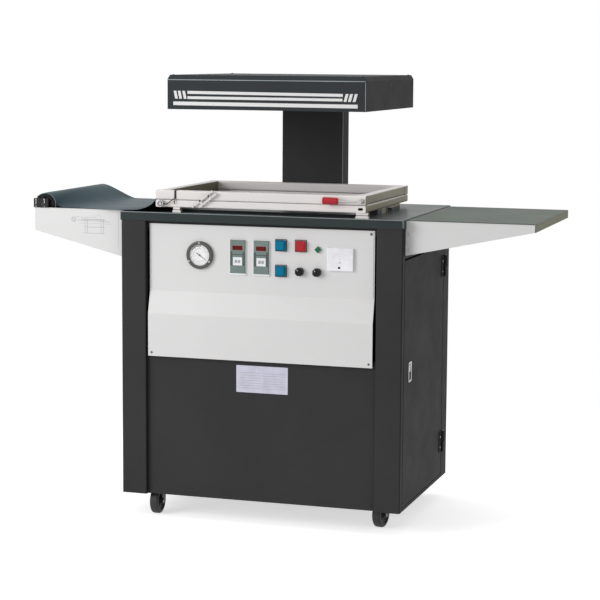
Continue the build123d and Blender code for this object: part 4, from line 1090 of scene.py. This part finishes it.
def make_tray_sketch():
    """Plain line sketch of a roll, a table and its legs on the left tray's front."""
    lines = Shape()
    place = (SKETCH_X, TRAY_Y[0], SKETCH_Z)

    def draw(strokes):
        for start, end, half in strokes:
            start, end = Vector(start), Vector(end)
            along = (end - start).normalized()
            side = Vector((-along.y, along.x)) * half
            lines.prism(place, FRONT, [start - side, end - side, end + side, start + side], 0.08)

    draw(SKETCH)
    for outer, inner in ((7.0, 6.0), (4.0, 3.1)):
        ring = [(outer, 0.0), (outer, 0.08), (inner, 0.08), (inner, 0.0)]
        centre = (SKETCH_X + SKETCH_ROLL[0], TRAY_Y[0], SKETCH_Z + SKETCH_ROLL[1])
        lines.lathe(centre, FRONT, ring, 32, ring=True)
    draw(SKETCH_FILM)
    lines.piece("tray_sketch", FAINT_PRINT, "white_paint")


def make_tray_seams():
    """Fold line and upper edges of the trays, and bolts in the outfeed tray's cheek."""
    seams = Shape()
    fold = rectangle((-0.5, 0.5), (TRAY_Z[0] + 25, TRAY_Z[1] - 2))
    edge = rectangle((TRAY_X[0] + 2, TRAY_X[1] - 4), (TRAY_Z[1] - 1.4, TRAY_Z[1]))
    seams.prism((TRAY_X[1] - 20, TRAY_Y[0], 0), FRONT, fold, 0.3, 0.1)
    seams.prism((0, TRAY_Y[0], 0), FRONT, edge, 0.5, 0.3)
    cheek_x, cheek_y, cheek_z = extent("outfeed_cheeks")
    edge = rectangle((cheek_x[0] + 6, cheek_x[1] - 2), (cheek_z[1] - 1.8, cheek_z[1] - 0.4))
    seams.prism((0, cheek_y[0], 0), FRONT, edge, 0.5, 0.2)
    seams.piece("tray_seams", WHITE_COAT, "white_paint")
    bolts = Shape()
    for drop in (34, 76):
        hexagon(bolts, (cheek_x[0] + 11.5, cheek_y[0], cheek_z[1] - drop), FRONT, 3.6, 2.4)
    bolts.piece("cheek_bolts", STEEL, "steel")


# Cabinet

DOOR_Y, DOOR_Z = extent("side_door")[1:]
RIGHT_SIDE = extent("door_rails")[0][1]
SHEET = 2.0
HINGE_HALF = 30.0
HINGE_SCREW_RISE = 15.0


def make_hinge_screws():
    """Screws in the hinges' fixed leaves, and in those on the door."""
    _, (near, far), (low, high) = extent("door_hinges")
    levels = [level + rise for level in (low + HINGE_HALF, high - HINGE_HALF)
              for rise in (-HINGE_SCREW_RISE, HINGE_SCREW_RISE)]
    for name, y, body in (("hinge_screws", far - 7, "cabinet"), ("door_hinge_screws", near - 14, "door")):
        places = [(RIGHT_SIDE + SHEET, y, level) for level in levels]
        screw_piece(name, STEEL, "steel", places, RIGHT, (2.6, 1.0), body)


def make_rear_screws():
    x, y, z = extent("rear_panel")
    places = [(column, y[1], level) for column in (x[0] + 14, 0, x[1] - 14)
              for level in (z[0] + 20, middle(z), z[1] - 36)]
    screw_piece("rear_screws", BLACK_METAL, "black_metal", places, BACK, (3.2, 1.4))


def make_sill_gasket():
    """Rubber strip behind the gap under the side door."""
    sill = Shape()
    outline = rectangle((DOOR_Y[0] - 3, DOOR_Y[1] - 3), (66.0, DOOR_Z[0] - 0.8))
    sill.prism((RIGHT_SIDE - SHEET - 4.0, 0, 0), RIGHT, outline, 3.9, 0.5)
    sill.piece("sill_gasket", RUBBER, "rubber")


def make_latch_lock():
    x, y, z = extent("door_latch")
    lock = Shape()
    pull = rectangle((-12, 12), (-23.5, -21.0), 1.0)
    keyhole = [(4.4, 0.0), (4.4, 1.2), (3.6, 1.8), (1.0, 1.8), (0.8, 1.2)]
    lock.prism((x[1], middle(y), middle(z)), RIGHT, pull, 1.2, 0.5)
    lock.lathe((x[1], middle(y), z[1] - 9), RIGHT, keyhole, 28)
    lock.piece("latch_lock", CHROME, "gauge_metal", "door", smooth=True)


def make_front_screws():
    x, y, z = extent("lower_front_panel")
    places = [(column, y[0], z[0] + 16) for column in (x[0] + 10, x[1] - 10)]
    screw_piece("front_screws", BLACK_METAL, "black_metal", places, FRONT, (3.0, 1.4))


def make_table_edge_highlight():
    """Painted highlight lines along the table's upper front edge and down its right corner."""
    edge = Shape()
    low, high = TABLE_Z
    along = rectangle((TABLE_X[0] + 2, TABLE_X[1] - 2), (high - 2.0, high - 0.4))
    edge.prism((0, TABLE_Y[0], 0), FRONT, along, 0.2, 0.1)
    edge.plate((TABLE_X[1] - 2.2, TABLE_Y[0], 0), FRONT, (0.0, 1.6), (low + 3, high - 1), 0.2, 0.1)
    edge.piece("table_edge_highlight", EDGE_HIGHLIGHT, "table_paint")


# Casters, with lengths along the axle from the wheel's middle
NUT_SEAT = 17.1
RIM_SEAT = 9.2
RIM_PROFILE = [(18.5, 0.0), (18.5, 1.6), (17.4, 2.0), (16.4, 1.6), (16.4, 0.0)]
PLATE_SHEET = 3.0
PLATE_BOLTS = (9.0, 55.0)


def make_caster_details():
    """Axle nuts and raised rims on the caster wheels."""
    for joint in frame["record"]["behaviour"]["joints"]:
        name = joint["name"]
        if not name.startswith("wheel_spin_"):
            continue
        corner = name[len("wheel_spin_"):]
        place = Vector(joint["pos_m"])
        centre = Vector(((place.x - MIDDLE_X) / MM, (place.y - FRONT_Y) / MM, place.z / MM))
        axle = Vector(joint["axis"]).normalized()
        nuts, rims = Shape(), Shape()
        for out in (-axle, axle):
            across = out.orthogonal().normalized()
            face = (across, out.cross(across))
            hexagon(nuts, centre + out * NUT_SEAT, face, 6.4, 2.6)
            rims.lathe(centre + out * RIM_SEAT, face, RIM_PROFILE, 48, ring=True)
        nuts.piece("axle_nuts_" + corner, STEEL, "steel", "swivel_" + corner)
        rims.piece("wheel_rim_" + corner, BLACK_PLASTIC, "rubber", "wheel_" + corner, smooth=True)


def make_caster_bolts():
    bolts = Shape()
    x, y, z = extent("caster_plates")
    near, far = PLATE_BOLTS
    for column in (x[0] + near, x[0] + far, x[1] - far, x[1] - near):
        for row in (y[0] + near, y[0] + far, y[1] - far, y[1] - near):
            hexagon(bolts, (column, row, z[1] - PLATE_SHEET), (X, -Y), 5.0, 3.2)
    bolts.piece("caster_bolts", STEEL, "steel")


# Camera, light and floor

def make_camera():
    forward = Vector((
        math.sin(CAMERA_YAW) * math.cos(CAMERA_PITCH),
        math.cos(CAMERA_YAW) * math.cos(CAMERA_PITCH),
        math.sin(CAMERA_PITCH),
    ))
    right = Vector((math.cos(CAMERA_YAW), -math.sin(CAMERA_YAW), 0))
    up = right.cross(forward)
    rolled_right = right * math.cos(CAMERA_ROLL) + up * math.sin(CAMERA_ROLL)
    rolled_up = up * math.cos(CAMERA_ROLL) - right * math.sin(CAMERA_ROLL)
    turn = Matrix((rolled_right, rolled_up, -forward)).transposed()
    data = bpy.data.cameras.new("camera")
    data.lens = CAMERA_LENS
    data.sensor_width = CAMERA_SENSOR
    data.shift_x, data.shift_y = CAMERA_SHIFT
    camera = bpy.data.objects.new("camera", data)
    camera.matrix_world = Matrix.Translation(at(*CAMERA_PLACE)) @ turn.to_4x4()
    bpy.context.scene.collection.objects.link(camera)
    bpy.context.scene.camera = camera


def area_light(name, place, size, power):
    data = bpy.data.lights.new(name, "AREA")
    data.size = size
    data.energy = power
    light = bpy.data.objects.new(name, data)
    direction = Vector(LIGHT_AIM) - Vector(place)
    light.location = place
    light.rotation_euler = direction.to_track_quat("-Z", "Y").to_euler()
    bpy.context.scene.collection.objects.link(light)


def seen_directly(tree):
    """1 for camera, glossy and transmission rays, else 0."""
    rays = new_node(tree, "LightPath")
    seen = math_node(tree, "MAXIMUM", rays.outputs["Is Camera Ray"], rays.outputs["Is Glossy Ray"])
    return math_node(tree, "MAXIMUM", seen, rays.outputs["Is Transmission Ray"])


def make_world():
    """White surroundings that light the machine at less than their seen strength."""
    world = bpy.data.worlds.new("studio")
    world.use_nodes = True
    tree = world.node_tree
    strength = value_range(tree, seen_directly(tree), WORLD_STRENGTH, 1.0)
    set_sockets(tree.nodes["Background"], Color=(1, 1, 1, 1), Strength=strength)
    bpy.context.scene.world = world
    bpy.context.scene.view_settings.view_transform = "Standard"


def make_floor():
    """Pale floor that keeps the machine's shadow and fades to the white background."""
    mesh = bpy.data.meshes.new("floor")
    corners = [(u * FLOOR_HALF, v * FLOOR_HALF, 0) for u, v in ((-1, -1), (1, -1), (1, 1), (-1, 1))]
    mesh.from_pydata(corners, [], [(0, 1, 2, 3)])
    floor = bpy.data.objects.new("floor", mesh)
    bpy.context.scene.collection.objects.link(floor)
    material, tree, shader = new_material("floor_white")
    set_sockets(shader, Base_Color=(0.8, 0.8, 0.8, 1), Roughness=0.9, Specular_IOR_Level=0.0)
    far = new_node(tree, "VectorMath")
    far.operation = "LENGTH"
    link(new_node(tree, "TexCoord").outputs["Object"], far.inputs[0])
    fade = value_range(tree, far.outputs["Value"], 0.0, 1.0, FLOOR_LIT_RADIUS, FLOOR_WHITE_RADIUS)
    seen = seen_directly(tree)
    glow = new_node(tree, "Emission", Strength=math_node(tree, "MULTIPLY", seen, FLOOR_GLOW))
    white = new_node(tree, "Emission", Strength=value_range(tree, seen, WORLD_STRENGTH, 1.0))
    lit = new_node(tree, "AddShader")
    link(shader.outputs["BSDF"], lit.inputs[0])
    link(glow.outputs["Emission"], lit.inputs[1])
    mix = new_node(tree, "MixShader", Fac=fade)
    link(lit.outputs["Shader"], mix.inputs[1])
    link(white.outputs["Emission"], mix.inputs[2])
    set_sockets(tree.nodes["Material Output"], Surface=mix.outputs["Shader"])
    mesh.materials.append(material)


dress_nodes()
make_gauge_scale()
make_gauge_needle()
make_gauge_cover()
make_timers()
make_buttons()
make_knob_details()
make_lamp()
make_meter()
make_panel_details()
make_card()
make_hood_stripes()
make_edge_highlights()
make_hood_screws()
make_column_angles()
make_hook_strap()
make_wire_hook()
make_toggle_rivets()
make_seals()
make_shadow_pads()
make_film()
make_roll_ends()
make_holder_details()
make_tray_sketch()
make_tray_seams()
make_hinge_screws()
make_rear_screws()
make_sill_gasket()
make_latch_lock()
make_front_screws()
make_table_edge_highlight()
make_caster_details()
make_caster_bolts()
make_camera()
for light in LIGHTS:
    area_light(*light)
make_world()
make_floor()
